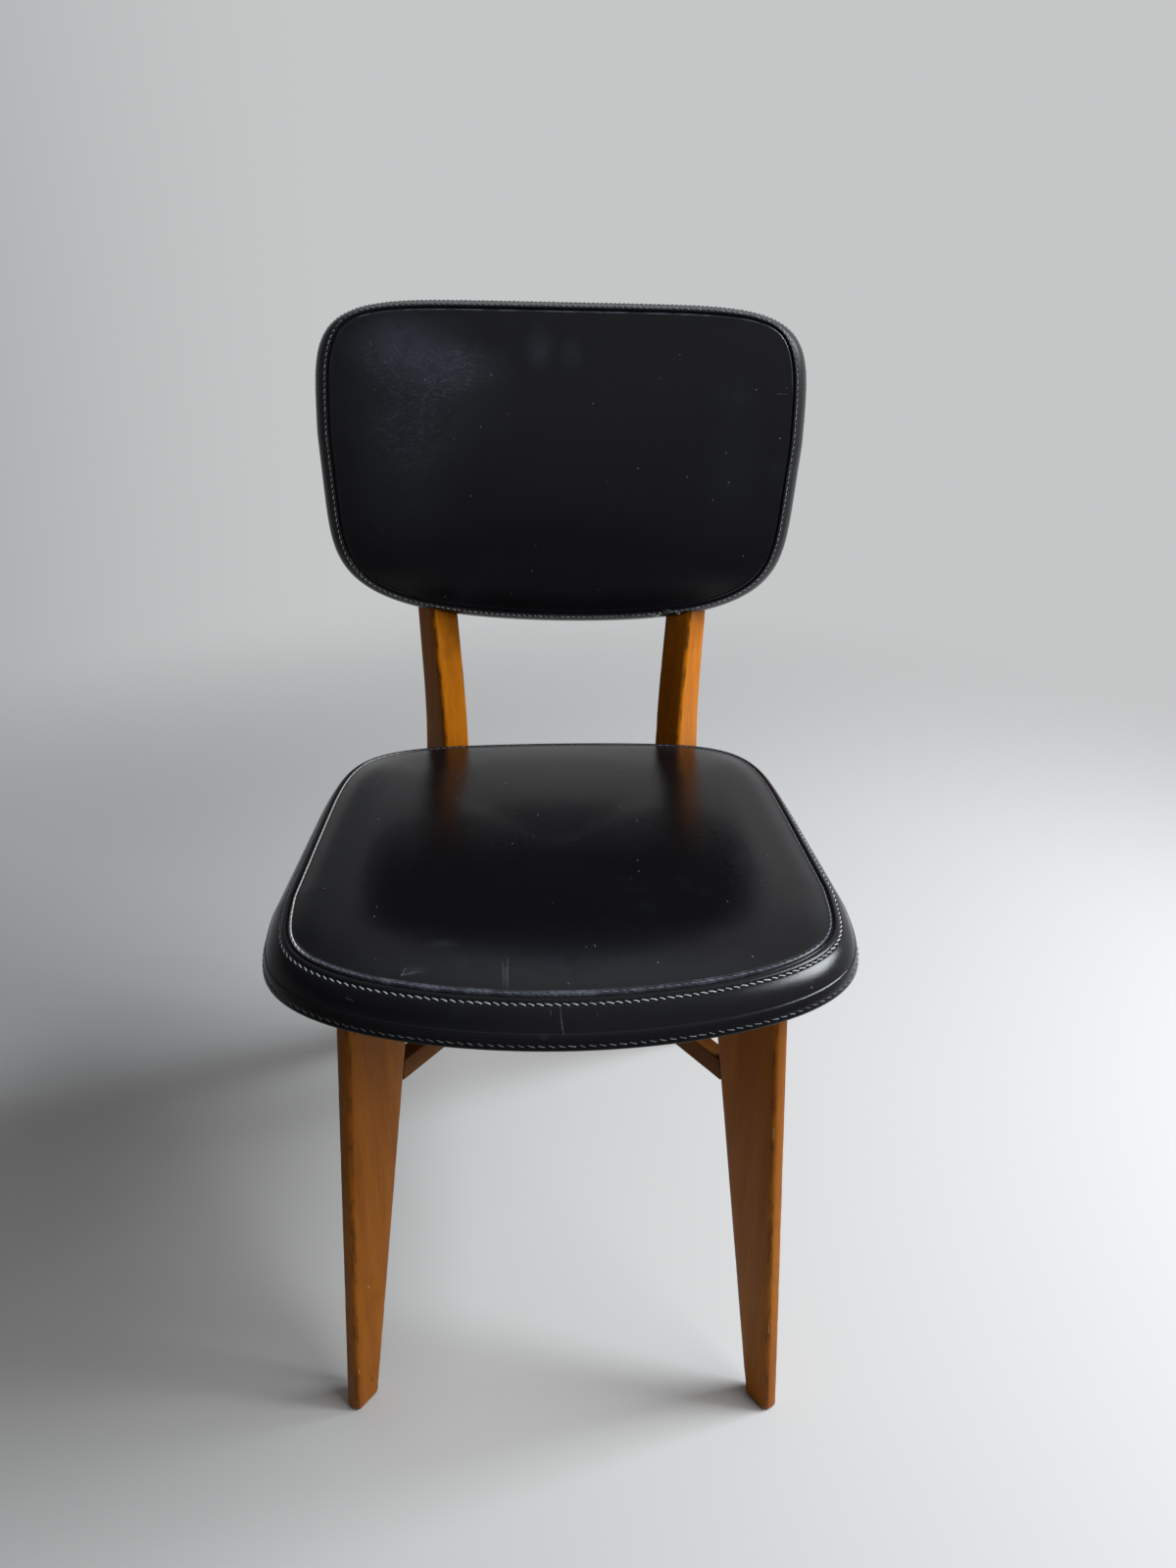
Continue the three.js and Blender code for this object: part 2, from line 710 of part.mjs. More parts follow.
// The seat pad is turned a little about its middle, as seen from above
const seatMatrix = new THREE.Matrix4()
  .makeTranslation(seatCentre.x + seatShift, seatCentre.y, 0)
  .multiply(new THREE.Matrix4().makeRotationZ(radians(seatCrook)))
  .multiply(new THREE.Matrix4().makeTranslation(-seatCentre.x, -seatCentre.y, 0));
const onSeat = (geometry) => toSolid(geometry, seatMatrix);
const hemNotches = [seatRails.left_seat_rail.clearance, seatRails.right_seat_rail.clearance];
addSolid(seatPad, "seat_board", drill(onSeat(seatBoard()), seatScrewHoles), plywood);
addSolid(seatPad, "seat_foam", onSeat(seatFoam()), foam);
addSolid(seatPad, "seat_top_panel", onSeat(seatTopPanel()), vinyl);
addSolid(seatPad, "seat_band", drill(onSeat(seatBand()), hemNotches), vinyl);
addSolid(seatPad, "seat_welt", onSeat(seatWelt()), piping);
seatScrewSpots.forEach((spot, k) => addSolid(seatPad, "seat_screw_" + (k + 1), seatScrew(spot, 0), steel));

const inPad = (geometry) => toSolid(geometry, padMatrix);
addSolid(backPad, "back_board", drill(inPad(backBoard()), backScrewHoles), plywood);
addSolid(backPad, "back_front_foam", inPad(backFrontFoam()), foam);
addSolid(backPad, "back_rear_foam", drill(inPad(backRearFoam()), [...tongueHoles, ...backScrewHoles]), foam);
addSolid(backPad, "back_front_panel", inPad(backFrontPanel()), vinyl);
addSolid(backPad, "back_rear_panel", inPad(backRearPanel()), vinyl);
addSolid(backPad, "back_band", drill(inPad(backBand()), tongueHoles), vinyl);
addSolid(backPad, "back_welt", inPad(backWelt()), piping);
backScrewPlaces.forEach(([side, height], k) => {
  addSolid(backPad, "back_screw_" + (k + 1), backScrew(side, height, 0), steel);
});

// The origin is on the floor, under the middle of the chair's box
const extent = new THREE.Box3().setFromObject(chair);
chair.position.set(0, -(extent.min.y + extent.max.y) / 2, -extent.min.z);

export default chair;
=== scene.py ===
import math

import bmesh
import bpy
import numpy as np
from mathutils import Matrix, Vector, noise


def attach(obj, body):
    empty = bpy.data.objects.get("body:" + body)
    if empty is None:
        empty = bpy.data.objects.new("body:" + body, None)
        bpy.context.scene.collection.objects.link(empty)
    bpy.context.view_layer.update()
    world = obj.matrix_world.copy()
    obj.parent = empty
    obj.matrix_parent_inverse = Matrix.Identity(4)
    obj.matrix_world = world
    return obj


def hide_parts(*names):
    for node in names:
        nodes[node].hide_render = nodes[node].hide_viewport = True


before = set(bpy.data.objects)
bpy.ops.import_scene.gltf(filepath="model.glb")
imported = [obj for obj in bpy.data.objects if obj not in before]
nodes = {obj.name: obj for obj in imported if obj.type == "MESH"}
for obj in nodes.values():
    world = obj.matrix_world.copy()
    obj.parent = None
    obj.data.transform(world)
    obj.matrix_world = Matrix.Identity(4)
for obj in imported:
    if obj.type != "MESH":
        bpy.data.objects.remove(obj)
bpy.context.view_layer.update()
scene = bpy.context.scene
mm = 0.001
print("chair frame loaded")

# Where the seat's front edge is, how far the diagonal frames are turned, and where they cross behind that
# edge, in millimetres and degrees
chair = {"frontEdge": -275.491, "frameTurn": 53.5, "frameCrossing": 265.8}


def addPiece(name, data):
    piece = bpy.data.objects.new(name, data)
    scene.collection.objects.link(piece)
    return piece


def makeMesh(name, points, faces):
    mesh = bpy.data.meshes.new(name)
    mesh.from_pydata([tuple(p) for p in points], [], faces)
    mesh.update()
    mesh.polygons.foreach_set("use_smooth", [True] * len(mesh.polygons))
    return addPiece(name, mesh)


# One number or one vector for each point of a mesh
def setAttribute(mesh, name, values):
    values = np.asarray(values, dtype=np.float32)
    kind, field = ("FLOAT_VECTOR", "vector") if values.ndim == 2 else ("FLOAT", "value")
    mesh.attributes.new(name, kind, "POINT").data.foreach_set(field, values.ravel())


# Rings of equal length become one surface, and a pole closes each end
def loftRings(rings, firstPole, lastPole):
    count = len(rings[0])
    points = np.vstack([*rings, firstPole, lastPole])
    hub, last = len(points) - 2, (len(rings) - 1) * count
    faces = ringFaces(0, count, len(rings))
    faces += [(hub, i, (i + 1) % count) for i in range(count)]
    faces += [(hub + 1, last + (i + 1) % count, last + i) for i in range(count)]
    return points, faces


def ringFaces(first, count, rings):
    following = np.roll(np.arange(count), -1)
    return [(a + i, a + count + i, a + count + j, a + j)
            for a in range(first, first + (rings - 1) * count, count) for i, j in enumerate(following)]


# A square grid drawn out to a pad's outline, so that a smooth panel has no pole in its middle. The
# outline has eight points for each ring of the grid, and its points come last. The third result is
# each point's share of the way from the middle to the outline. The rise is given that share and the
# place round the outline, counted in stations.
def gridPanel(outline, middle, rise):
    closed = np.vstack([outline, outline[:1]])
    half = len(outline) // 8
    points, spread, places = [middle + rise(0.0, np.zeros(1))[0]], [0.0], {(0, 0): 0}
    for k in range(1, half + 1):
        share = k / half
        spots = np.arange(8 * k) * len(outline) / (8 * k)
        low = spots.astype(int)
        part = (spots - low)[:, None]
        ring = closed[low] * (1 - part) + closed[low + 1] * part
        corners = ((0, k), (-k, k), (-k, 0), (-k, -k), (0, -k), (k, -k), (k, 0), (k, k), (0, k))
        for j in range(8 * k):
            (x0, y0), (x1, y1) = corners[j // k], corners[j // k + 1]
            places[x0 + (x1 - x0) * (j % k) // k, y0 + (y1 - y0) * (j % k) // k] = len(points) + j
        points += list(middle + share * (ring - middle) + rise(share, spots))
        spread += [share] * 8 * k
    faces = [(places[x, y], places[x + 1, y], places[x + 1, y + 1], places[x, y + 1])
             for x in range(-half, half) for y in range(-half, half)]
    return np.array(points), faces, np.array(spread)


def outwardFaces(piece):
    shape = bmesh.new()
    shape.from_mesh(piece.data)
    bmesh.ops.recalc_face_normals(shape, faces=shape.faces)
    shape.to_mesh(piece.data)
    shape.free()


outlineSearch = {"angles": 6000, "margin": 250, "halvings": 44}


# The rounded trapezoid of a pad: a superellipse whose width tapers and whose ends are bowed
def padOutline(length, halfWidth, lowBow, highBow, lowPower, highPower, stations):
    middle = halfLength = length / 2
    angle = np.pi / 2 + np.linspace(0, 2 * np.pi, outlineSearch["angles"], endpoint=False)
    near = np.zeros_like(angle)
    far = np.full_like(angle, 2 * (halfLength + outlineSearch["margin"]))
    for _ in range(outlineSearch["halvings"]):
        reach = (near + far) / 2
        x, y = reach * np.cos(angle), middle + reach * np.sin(angle)
        width = halfWidth(y)
        lower = y < middle
        reachUp = halfLength - np.where(lower, lowBow, highBow) * (x / width) ** 2
        power = np.where(lower, lowPower, highPower)
        inside = np.abs(x / width) ** power + np.abs((y - middle) / reachUp) ** power < 1
        near, far = np.where(inside, reach, near), np.where(inside, far, reach)
    rim = np.stack([near * np.cos(angle), middle + near * np.sin(angle)], 1)
    closed = np.vstack([rim, rim[:1]])
    along = np.concatenate([[0], np.cumsum(np.linalg.norm(np.diff(closed, axis=0), axis=1))])
    want = np.linspace(0, along[-1], stations, endpoint=False)
    points = np.stack([np.interp(want, along, closed[:, k]) for k in (0, 1)], 1)
    step = np.roll(points, -1, 0) - np.roll(points, 1, 0)
    step /= np.linalg.norm(step, axis=1)[:, None]
    return points, np.stack([step[:, 1], -step[:, 0]], 1)


# How a bulging band runs out from its seam to its rim
def bandCurve(t, bulge):
    share = (1 - t) ** 2 + 2 * t * (1 - t) * (1 - bulge)
    drop = 2 * t * (1 - t) * (1 - bulge) + t * t
    return share, drop


def hump(s, middle, width):
    return np.exp(-(((s - middle) / width) ** 2))


def window(s, start, end, power=1.0):
    part = np.clip((s - start) / (end - start), 0, 1)
    return np.sin(np.pi * part) ** power


# Pushes a profile out along its own normal by a relief that depends on the distance from the seam.
# out and up hold one row for each ring and one column for each station.
def relieved(out, up, seamRow, relief):
    step = np.hypot(np.diff(out, axis=0), np.diff(up, axis=0))
    s = np.vstack([np.zeros(out.shape[1]), np.cumsum(step, 0)])
    s = s - s[seamRow]
    tangentOut, tangentUp = np.gradient(out, axis=0), np.gradient(up, axis=0)
    size = np.hypot(tangentOut, tangentUp) + 1e-9
    normalOut, normalUp = -tangentUp / size, tangentOut / size
    height = relief(s, s[-1])
    return out + height * normalOut, up + height * normalUp, s, normalOut, normalUp


# How the cloth of both covers swells, with the edge that is sewn held still
coverCloth = {"quality": 6, "mass": 0.3, "stiffness": 30, "bending": 4, "pressure": 4, "frames": 20,
              "edgePower": 12}


# Lets cloth swell up to a soft cap, given in millimetres, as foam presses on a cover
def swollen(points, faces, spread, cap):
    piece = makeMesh("swelling", points, faces)
    pins = piece.vertex_groups.new(name="sewn")
    pins.add([k for k, share in enumerate(spread) if share == 1], 1.0, "REPLACE")
    modifier = piece.modifiers.new("swell", "CLOTH")
    settings = modifier.settings
    settings.quality = coverCloth["quality"]
    settings.mass = coverCloth["mass"]
    settings.tension_stiffness = settings.compression_stiffness = coverCloth["stiffness"]
    settings.bending_stiffness = coverCloth["bending"]
    settings.use_pressure = True
    settings.uniform_pressure_force = coverCloth["pressure"]
    settings.effector_weights.gravity = 0
    settings.vertex_group_mass = "sewn"
    modifier.collision_settings.use_collision = False
    modifier.collision_settings.use_self_collision = False
    for still in range(1, coverCloth["frames"] + 1):
        scene.frame_set(still)
    evaluated = piece.evaluated_get(bpy.context.evaluated_depsgraph_get())
    move = np.array([v.co for v in evaluated.data.vertices]) - points
    scene.frame_set(1)
    bpy.data.objects.remove(piece)
    size = np.linalg.norm(move, axis=1)[:, None] + 1e-12
    print("  cloth moved up to %.1f mm" % (size.max() / mm))
    most = cap * mm * (1 - spread[:, None] ** coverCloth["edgePower"])
    return points + move / size * most * np.tanh(size / (cap * mm))


# A closed pad: a panel, the rings that follow its edge, and the panel that closes it. The attribute
# seam is each point's distance from the front seam in millimetres, less than nothing on the panel.
def joinedPad(name, front, rings, rear, seams):
    count = len(rings[0])
    points = np.vstack([front[0], *rings, rear[0]])
    start, last = len(points) - len(rear[0]), len(points) - count
    faces = front[1] + ringFaces(len(front[0]) - count, count, len(rings) + 1)
    faces += [tuple(start + k for k in face) for face in rear[1]]
    faces += [(start - count + i, last + i, last + (i + 1) % count, start - count + (i + 1) % count)
              for i in range(count)]
    piece = makeMesh(name, points, faces)
    setAttribute(piece.data, "seam", np.concatenate(seams))
    outwardFaces(piece)
    return piece


# How squarely a dome falls to each station of its edge, and how steeply it meets it
def edgePower(pad, normal):
    return pad["crownPower"] + (pad["sidePower"] - pad["crownPower"]) * normal[:, 0] ** 2


def edgeSlope(pad, rim, normal, middle, flare):
    reach = ((rim - middle) * normal).sum(1) - flare - pad["lead"]
    power = edgePower(pad, normal)
    return pad["fill"] * pad["crown"] * power / (reach + pad["lead"] * power)


# The step at a pad's front seam: half its width, how far the band starts below the panel, and its rings
seamStep = {"half": 2.1, "drop": 0.9, "rings": 24}


# The section of a pad at each station: from the edge of its panel over the seam, and down the bulging band
def padProfile(pad, rim, normal, middle, flare, seamHeight, fall, relief):
    half, drop = seamStep["half"], seamStep["drop"]
    lead = np.linspace(-pad["lead"], half, seamStep["rings"])[:, None]
    slope = edgeSlope(pad, rim, normal, middle, flare)
    leadUp = np.where(lead < -half, -(lead + half) * slope, -(lead + half) * drop / (2 * half))
    share, down = bandCurve(np.linspace(0, 1, pad["bandRings"])[1:], pad["bulge"])
    out = np.vstack([lead - flare, -share[:, None] * (flare[None, :] - half)])
    up = np.vstack([seamHeight + leadUp,
                    np.repeat((seamHeight - drop - down * fall)[:, None], pad["stations"], 1)])
    return relieved(out, up, int(np.argmin(np.abs(lead))), relief)


# The dome of a pad, and the shallow dip that sitting or leaning has left in it
def domed(height, dip, power, direction):
    closed = np.append(power, power[0])

    def rise(share, spots):
        fall = 1 - share ** np.interp(spots, np.arange(len(closed)), closed)
        return (height * fall - dip * (1 - share ** 2) ** 2)[:, None] * np.asarray(direction)

    return rise


def flat(share, spots):
    return np.zeros((len(spots), 3))


# The seat pad, in millimetres, degrees and shares
seat = {
    "depth": 418, "halfWidth": 223, "rearHalfWidth": 197, "widestY": 150,
    "frontPower": 6.5, "rearPower": 6, "frontBow": 53, "rearBow": 12,
    "frontFlare": 24, "rearFlare": 11, "rimZ": 424, "seamZ": 452, "bulge": 0.77, "hemLift": 0.6,
    "crown": 14, "fill": 0.45, "crownPower": 6.0, "sidePower": 22, "dip": 3.7, "swell": 1.4,
    "crook": 1.8, "shift": -3, "lead": 9, "stations": 304, "bandRings": 64,
    "hemWidth": 18, "coverThickness": 1.2, "boardTop": 436.2, "boardInset": 4,
    "ridgeLine": -2.4, "seamRidge": 0.45, "seamGroove": 1.9,
    "flapStart": 0.7, "flapHeight": 0.8, "flapWidth": 5.6, "stitchLine": 6.3, "stitchGroove": 0.8,
    "lowerStitchLine": 3.4, "lowerGroove": 0.14, "bandSwell": 0.30,
}


def seatHalfWidth(y):
    part = np.clip((y - seat["widestY"]) / (seat["depth"] - seat["widestY"]), 0, 1)
    return seat["halfWidth"] + part * (seat["rearHalfWidth"] - seat["halfWidth"])


seatRim, seatNormal = padOutline(seat["depth"], seatHalfWidth, seat["frontBow"], seat["rearBow"],
                                 seat["frontPower"], seat["rearPower"], seat["stations"])
seatFlare = seat["frontFlare"] + seatRim[:, 1] / seat["depth"] * (seat["rearFlare"] - seat["frontFlare"])


# A ring of the seat: how far in from the rim, and how high, in millimetres
def seatRing(inset, z):
    plan = seatRim - np.reshape(inset, (-1, 1)) * seatNormal
    return seatPlace(np.column_stack([plan, np.broadcast_to(z, len(plan))]))


def seatOutRing(out, up):
    return seatRing(-out, up)


def seatPlace(points):
    turn = math.radians(seat["crook"])
    x, y = points[:, 0], points[:, 1] - seat["depth"] / 2
    turnedX = x * math.cos(turn) - y * math.sin(turn) + seat["shift"]
    turnedY = x * math.sin(turn) + y * math.cos(turn) + seat["depth"] / 2 + chair["frontEdge"]
    return np.column_stack([turnedX, turnedY, points[:, 2]]) * mm


def seatProfile():
    stitch, lower, flap = seat["stitchLine"], seat["lowerStitchLine"], seat["flapStart"]

    def relief(s, end):
        h = seat["seamRidge"] * hump(s, seat["ridgeLine"], 1.2) - seat["seamGroove"] * hump(s, 0, 0.8)
        h += seat["flapHeight"] * window(s, flap, flap + seat["flapWidth"], 0.7)
        h -= seat["stitchGroove"] * hump(s, stitch, 0.85)
        rest = np.clip((s - stitch) / (end - stitch), 0, 1)
        h += seat["bandSwell"] * np.sin(np.pi * rest ** 0.7) * (s > stitch)
        return h - seat["lowerGroove"] * hump(s, end - lower, 1.3)

    middle, fall = (0, seat["depth"] / 2), seat["seamZ"] - seamStep["drop"] - seat["rimZ"] - seat["hemLift"]
    return padProfile(seat, seatRim, seatNormal, middle, seatFlare, seat["seamZ"], fall, relief)


# The point of each station's profile at a distance beyond the seam, or else short of the rim
def alongProfile(profile, distance, lift, fromSeam):
    out, up, s, normalOut, normalUp = profile
    places, normals = [], []
    for k in range(out.shape[1]):
        at = distance if fromSeam else s[-1, k] - distance
        row = np.interp(at, s[:, k], np.arange(len(s)))
        low = int(row)
        part = row - low
        values = [(1 - part) * field[low, k] + part * field[min(low + 1, len(s) - 1), k]
                  for field in (out, up, normalOut, normalUp)]
        places.append([values[0] + lift * values[2], values[1] + lift * values[3]])
        normals.append(values[2:])
    return np.array(places), np.array(normals)


def makeSeat():
    profile = seatProfile()
    out, up, s = profile[:3]
    base = up[0].mean()
    middle = seatPlace(np.array([[0, seat["depth"] / 2, base]]))[0]
    dome = (seat["seamZ"] + seat["crown"] * seat["fill"] - base) * mm
    rise = domed(dome, seat["dip"] * mm, edgePower(seat, seatNormal), (0, 0, 1))
    panel, faces, spread = gridPanel(seatOutRing(out[0], up[0]), middle, rise)
    panel = swollen(panel, faces, spread, seat["swell"])
    rings = [seatOutRing(out[k], up[k]) for k in range(1, len(out))]
    rim, cover, hem = seat["rimZ"], seat["coverThickness"], seat["hemWidth"]
    # The hem turns in under the board and back: insets from the rim, and heights
    under = ((0.15, rim + 0.25), (0.6, rim), (2.5, rim), (hem * 0.6, rim), (hem - 0.3, rim),
             (hem, rim + 0.3), (hem, rim + cover - 0.1), (hem - 0.5, rim + cover),
             (2.6, rim + cover), (2.4, rim + cover + 0.3), (2.4, seat["boardTop"] - 1))
    rings += [seatRing(inset, z) for inset, z in under]
    onBoard = seatPlace(np.array([[0, seat["depth"] / 2, seat["boardTop"]]]))[0]
    closing = gridPanel(seatRing(seat["boardInset"], seat["boardTop"]), onBoard, flat)
    seams = [-seat["lead"] - (1 - spread) * seat["halfWidth"], s[1:].ravel(),
             np.full(len(under) * seat["stations"] + len(closing[0]), s.max() + 1)]
    return joinedPad("seatPadding", (panel, faces), rings, closing, seams), profile


seatPadding, seatLines = makeSeat()
print("seat pad made")

# The back pad, in millimetres, degrees and shares
back = {
    "height": 276, "halfWidth": 216.5, "lowHalfWidth": 205, "widestHeight": 165,
    "bottomBow": 20, "bottomPower": 5, "topPower": 6,
    "sideFlare": 15.5, "topFlare": 5.5, "bottomFlare": 11.5, "depth": 34, "bulge": 0.88,
    "crown": 10, "fill": 0.75, "rearCrown": 3, "crownPower": 4, "sidePower": 4, "swell": 2.6,
    "bottomZ": 562, "rearY": 456, "lean": 7, "crook": 1.1, "shift": -2,
    "stations": 288, "bandRings": 56, "lead": 9, "seamRidge": 0.15, "seamGroove": 2.3,
    "stripHeight": 0.6, "stripEnd": 4.9, "stitchLine": 2.9, "stitchGroove": 0.55, "bandSwell": 0.5,
    "rearLift": 1.5, "rearLip": 0.8, "rearInset": 2.6,
}


def backHalfWidth(v):
    part = np.clip(v / back["widestHeight"], 0, 1)
    return back["lowHalfWidth"] + part * (back["halfWidth"] - back["lowHalfWidth"])


backRim, backNormal = padOutline(back["height"], backHalfWidth, back["bottomBow"], 0,
                                 back["bottomPower"], back["topPower"], back["stations"])
endFlare = np.interp(backNormal[:, 1], [-0.25, 0.25], [back["bottomFlare"], back["topFlare"]])
backMatrix = (Matrix.Translation((0, back["rearY"], back["bottomZ"]))
              @ Matrix.Rotation(math.radians(-back["lean"]), 4, "X")
              @ Matrix.Translation((back["shift"], 0, back["height"] / 2))
              @ Matrix.Rotation(math.radians(back["crook"]), 4, "Y")
              @ Matrix.Translation((0, 0, -back["height"] / 2)))


def backPlace(points):
    turned = points @ np.array(backMatrix.to_3x3()).T + np.array(backMatrix.translation)
    return (turned + [0, chair["frontEdge"], 0]) * mm


# A ring of the back pad: the share of the flare and a further inset in from the rim, and the depth
def backRing(share, extra, y):
    x = backRim[:, 0] - backNormal[:, 0] * (share * back["sideFlare"] + extra)
    z = backRim[:, 1] - backNormal[:, 1] * (share * endFlare + extra)
    return backPlace(np.column_stack([x, np.broadcast_to(y, len(x)), z]))


backFlare = np.hypot(backNormal[:, 0] * back["sideFlare"], backNormal[:, 1] * endFlare)


def backProfile():
    stitch, end = back["stitchLine"], back["stripEnd"]

    def relief(s, last):
        h = back["seamRidge"] * hump(s, -2.0, 1.0) - back["seamGroove"] * hump(s, 0, 0.62)
        h += back["stripHeight"] * window(s, 0.6, end + 0.4, 0.35) - back["stitchGroove"] * hump(s, stitch, 0.7)
        rest = np.clip((s - end) / (last - end), 0, 1)
        h += back["bandSwell"] * np.sin(np.pi * rest ** 0.8) * (s > end)
        return h + back["rearLip"] * hump(s, last, 1.2)

    middle, fall = (0, back["height"] / 2), back["depth"] - seamStep["drop"] - back["rearLift"]
    return padProfile(back, backRim, backNormal, middle, backFlare, back["depth"], fall, relief)


# Turns a distance out from the rim and a height above the rear seam into a ring in place
def backOutRing(out, up):
    return backRing(-out / backFlare, 0, -up)


def makeBack():
    profile = backProfile()
    out, up, s = profile[:3]
    base = up[0].mean()
    forward = -np.array(backMatrix.to_3x3())[:, 1]
    middle = backPlace(np.array([[0, -base, back["height"] / 2]]))[0]
    dome = (back["depth"] + back["crown"] * back["fill"] - base) * mm
    power = edgePower(back, backNormal)
    panel, faces, spread = gridPanel(backOutRing(out[0], up[0]), middle, domed(dome, 0, power, forward))
    panel = swollen(panel, faces, spread, back["swell"])
    rings = [backOutRing(out[k], up[k]) for k in range(1, len(out))]
    # The lip that folds over to the rear panel: insets from the rim, and depths
    lip = [backRing(0, inset, y) for inset, y in ((-0.9, 0), (-0.2, 0.8), (1.2, 0.6))]
    rings += lip
    flatRear = backPlace(np.array([[0, 0.1, back["height"] / 2]]))[0]
    rearRise = domed(back["rearCrown"] * mm, 0, power, -forward)
    rearPanel, rearFaces, rearSpread = gridPanel(backRing(0, back["rearInset"], 0.1), flatRear, rearRise)
    last = s.max() + 1
    seams = [-back["lead"] - (1 - spread) * back["halfWidth"], s[1:].ravel(),
             np.full(len(lip) * back["stations"], last), last + (1 - rearSpread) * back["halfWidth"]]
    return joinedPad("backPadding", (panel, faces), rings, (rearPanel, rearFaces), seams), profile


backPadding, backLines = makeBack()
print("back pad made")

# The legs, in millimetres; a dent or a chip starts where its noise passes a level
legs = {
    "edgeRadius": 4.3, "cornerSteps": 5, "step": 3.0, "soleRadius": 3.2,
    "soleEasing": ((0.0, 1.0), (0.5, 0.45), (1.1, 0.12)),
    "edgeWear": 0.55, "dentLevel": 0.12, "dentScale": (0.11, 0.11, 0.045),
    "chipSize": 1.5, "chipLevel": 0.22, "chipScale": (0.16, 0.16, 0.17), "chipsBelow": 26,
    "postRise": 12, "seatUnderside": 425.2,
    "frontFoot": (293, 26.5), "frontTop": (256, 71.5), "frontThickness": 14,
    "rearHeights": (0, 319, 452), "rearReach": (335.96, 245.96, 226.96, 229.96),
    "rearWidth": (24, 50, 37, 29), "rearThickness": 28,
}
postTop = back["bottomZ"] + back["bottomFlare"] + legs["postRise"]
rearHeights = (*legs["rearHeights"], postTop)


# The plan position of a point in a diagonal frame: u along it towards the rear, v behind its show face
def frameToChair(u, v, mirrored):
    turn = math.radians(chair["frameTurn"])
    x = u * math.cos(turn) - v * math.sin(turn)
    y = u * math.sin(turn) + v * math.cos(turn) + chair["frameCrossing"] + chair["frontEdge"]
    return (-x if mirrored else x) * mm, y * mm


# A bent line through known values at known heights, as the frame's own rear leg has it
def bentLine(at, heights, values):
    known = np.column_stack([values, heights]).astype(float)
    known = np.vstack([2 * known[0] - known[1], known, 2 * known[-1] - known[-2]])
    gaps = np.sqrt(np.linalg.norm(np.diff(known, axis=0), axis=1))
    t = np.linspace(0, 1, 60)[:, None]
    trail = []
    for k in range(1, len(known) - 2):
        p, g = known[k - 1:k + 3], gaps[k - 1:k + 2]
        leave = ((p[1] - p[0]) / g[0] - (p[2] - p[0]) / (g[0] + g[1]) + (p[2] - p[1]) / g[1]) * g[1]
        reach = ((p[2] - p[1]) / g[1] - (p[3] - p[1]) / (g[1] + g[2]) + (p[3] - p[2]) / g[2]) * g[1]
        trail.append((2 * t**3 - 3 * t**2 + 1) * p[1] + (t**3 - 2 * t**2 + t) * leave
                     + (3 * t**2 - 2 * t**3) * p[2] + (t**3 - t**2) * reach)
    trail = np.vstack(trail)
    return np.interp(at, trail[:, 1], trail[:, 0])


# Where a leg starts and ends along its frame, at each height
def frontExtent(z):
    share = z / legs["seatUnderside"]
    foot, top = legs["frontFoot"], legs["frontTop"]
    reach, width = (foot[k] + share * (top[k] - foot[k]) for k in (0, 1))
    return -reach, width - reach


def rearExtent(z):
    reach = bentLine(z, rearHeights, legs["rearReach"])
    return reach - bentLine(z, rearHeights, legs["rearWidth"]), reach


# Points round a rounded rectangle, and how much each lies on a corner
def roundedLoop(start, end, depth, radius):
    steps = legs["cornerSteps"]
    loop = []
    corners = ((end - radius, radius, -90), (end - radius, depth - radius, 0),
               (start + radius, depth - radius, 90), (start + radius, radius, 180))
    for k, (cu, cv, first) in enumerate(corners):
        for j in range(steps + 1):
            angle = math.radians(first + 90 * j / steps)
            corner = 1 - abs(2 * j / steps - 1)
            loop.append((cu + radius * math.cos(angle), cv + radius * math.sin(angle), corner))
        nu, nv, nextFirst = corners[(k + 1) % 4]
        turned = math.radians(nextFirst)
        goal = (nu + radius * math.cos(turned), nv + radius * math.sin(turned))
        flats = 4 if k % 2 else 2
        begin = loop[-1]
        for j in range(1, flats):
            part = j / flats
            loop.append((begin[0] + part * (goal[0] - begin[0]), begin[1] + part * (goal[1] - begin[1]), 0))
    return loop


# A place in the noise that dents or chips a leg
def noiseSpot(place, scale, offset):
    return Vector([value * size + start for value, size, start in zip(place, scale, offset)])


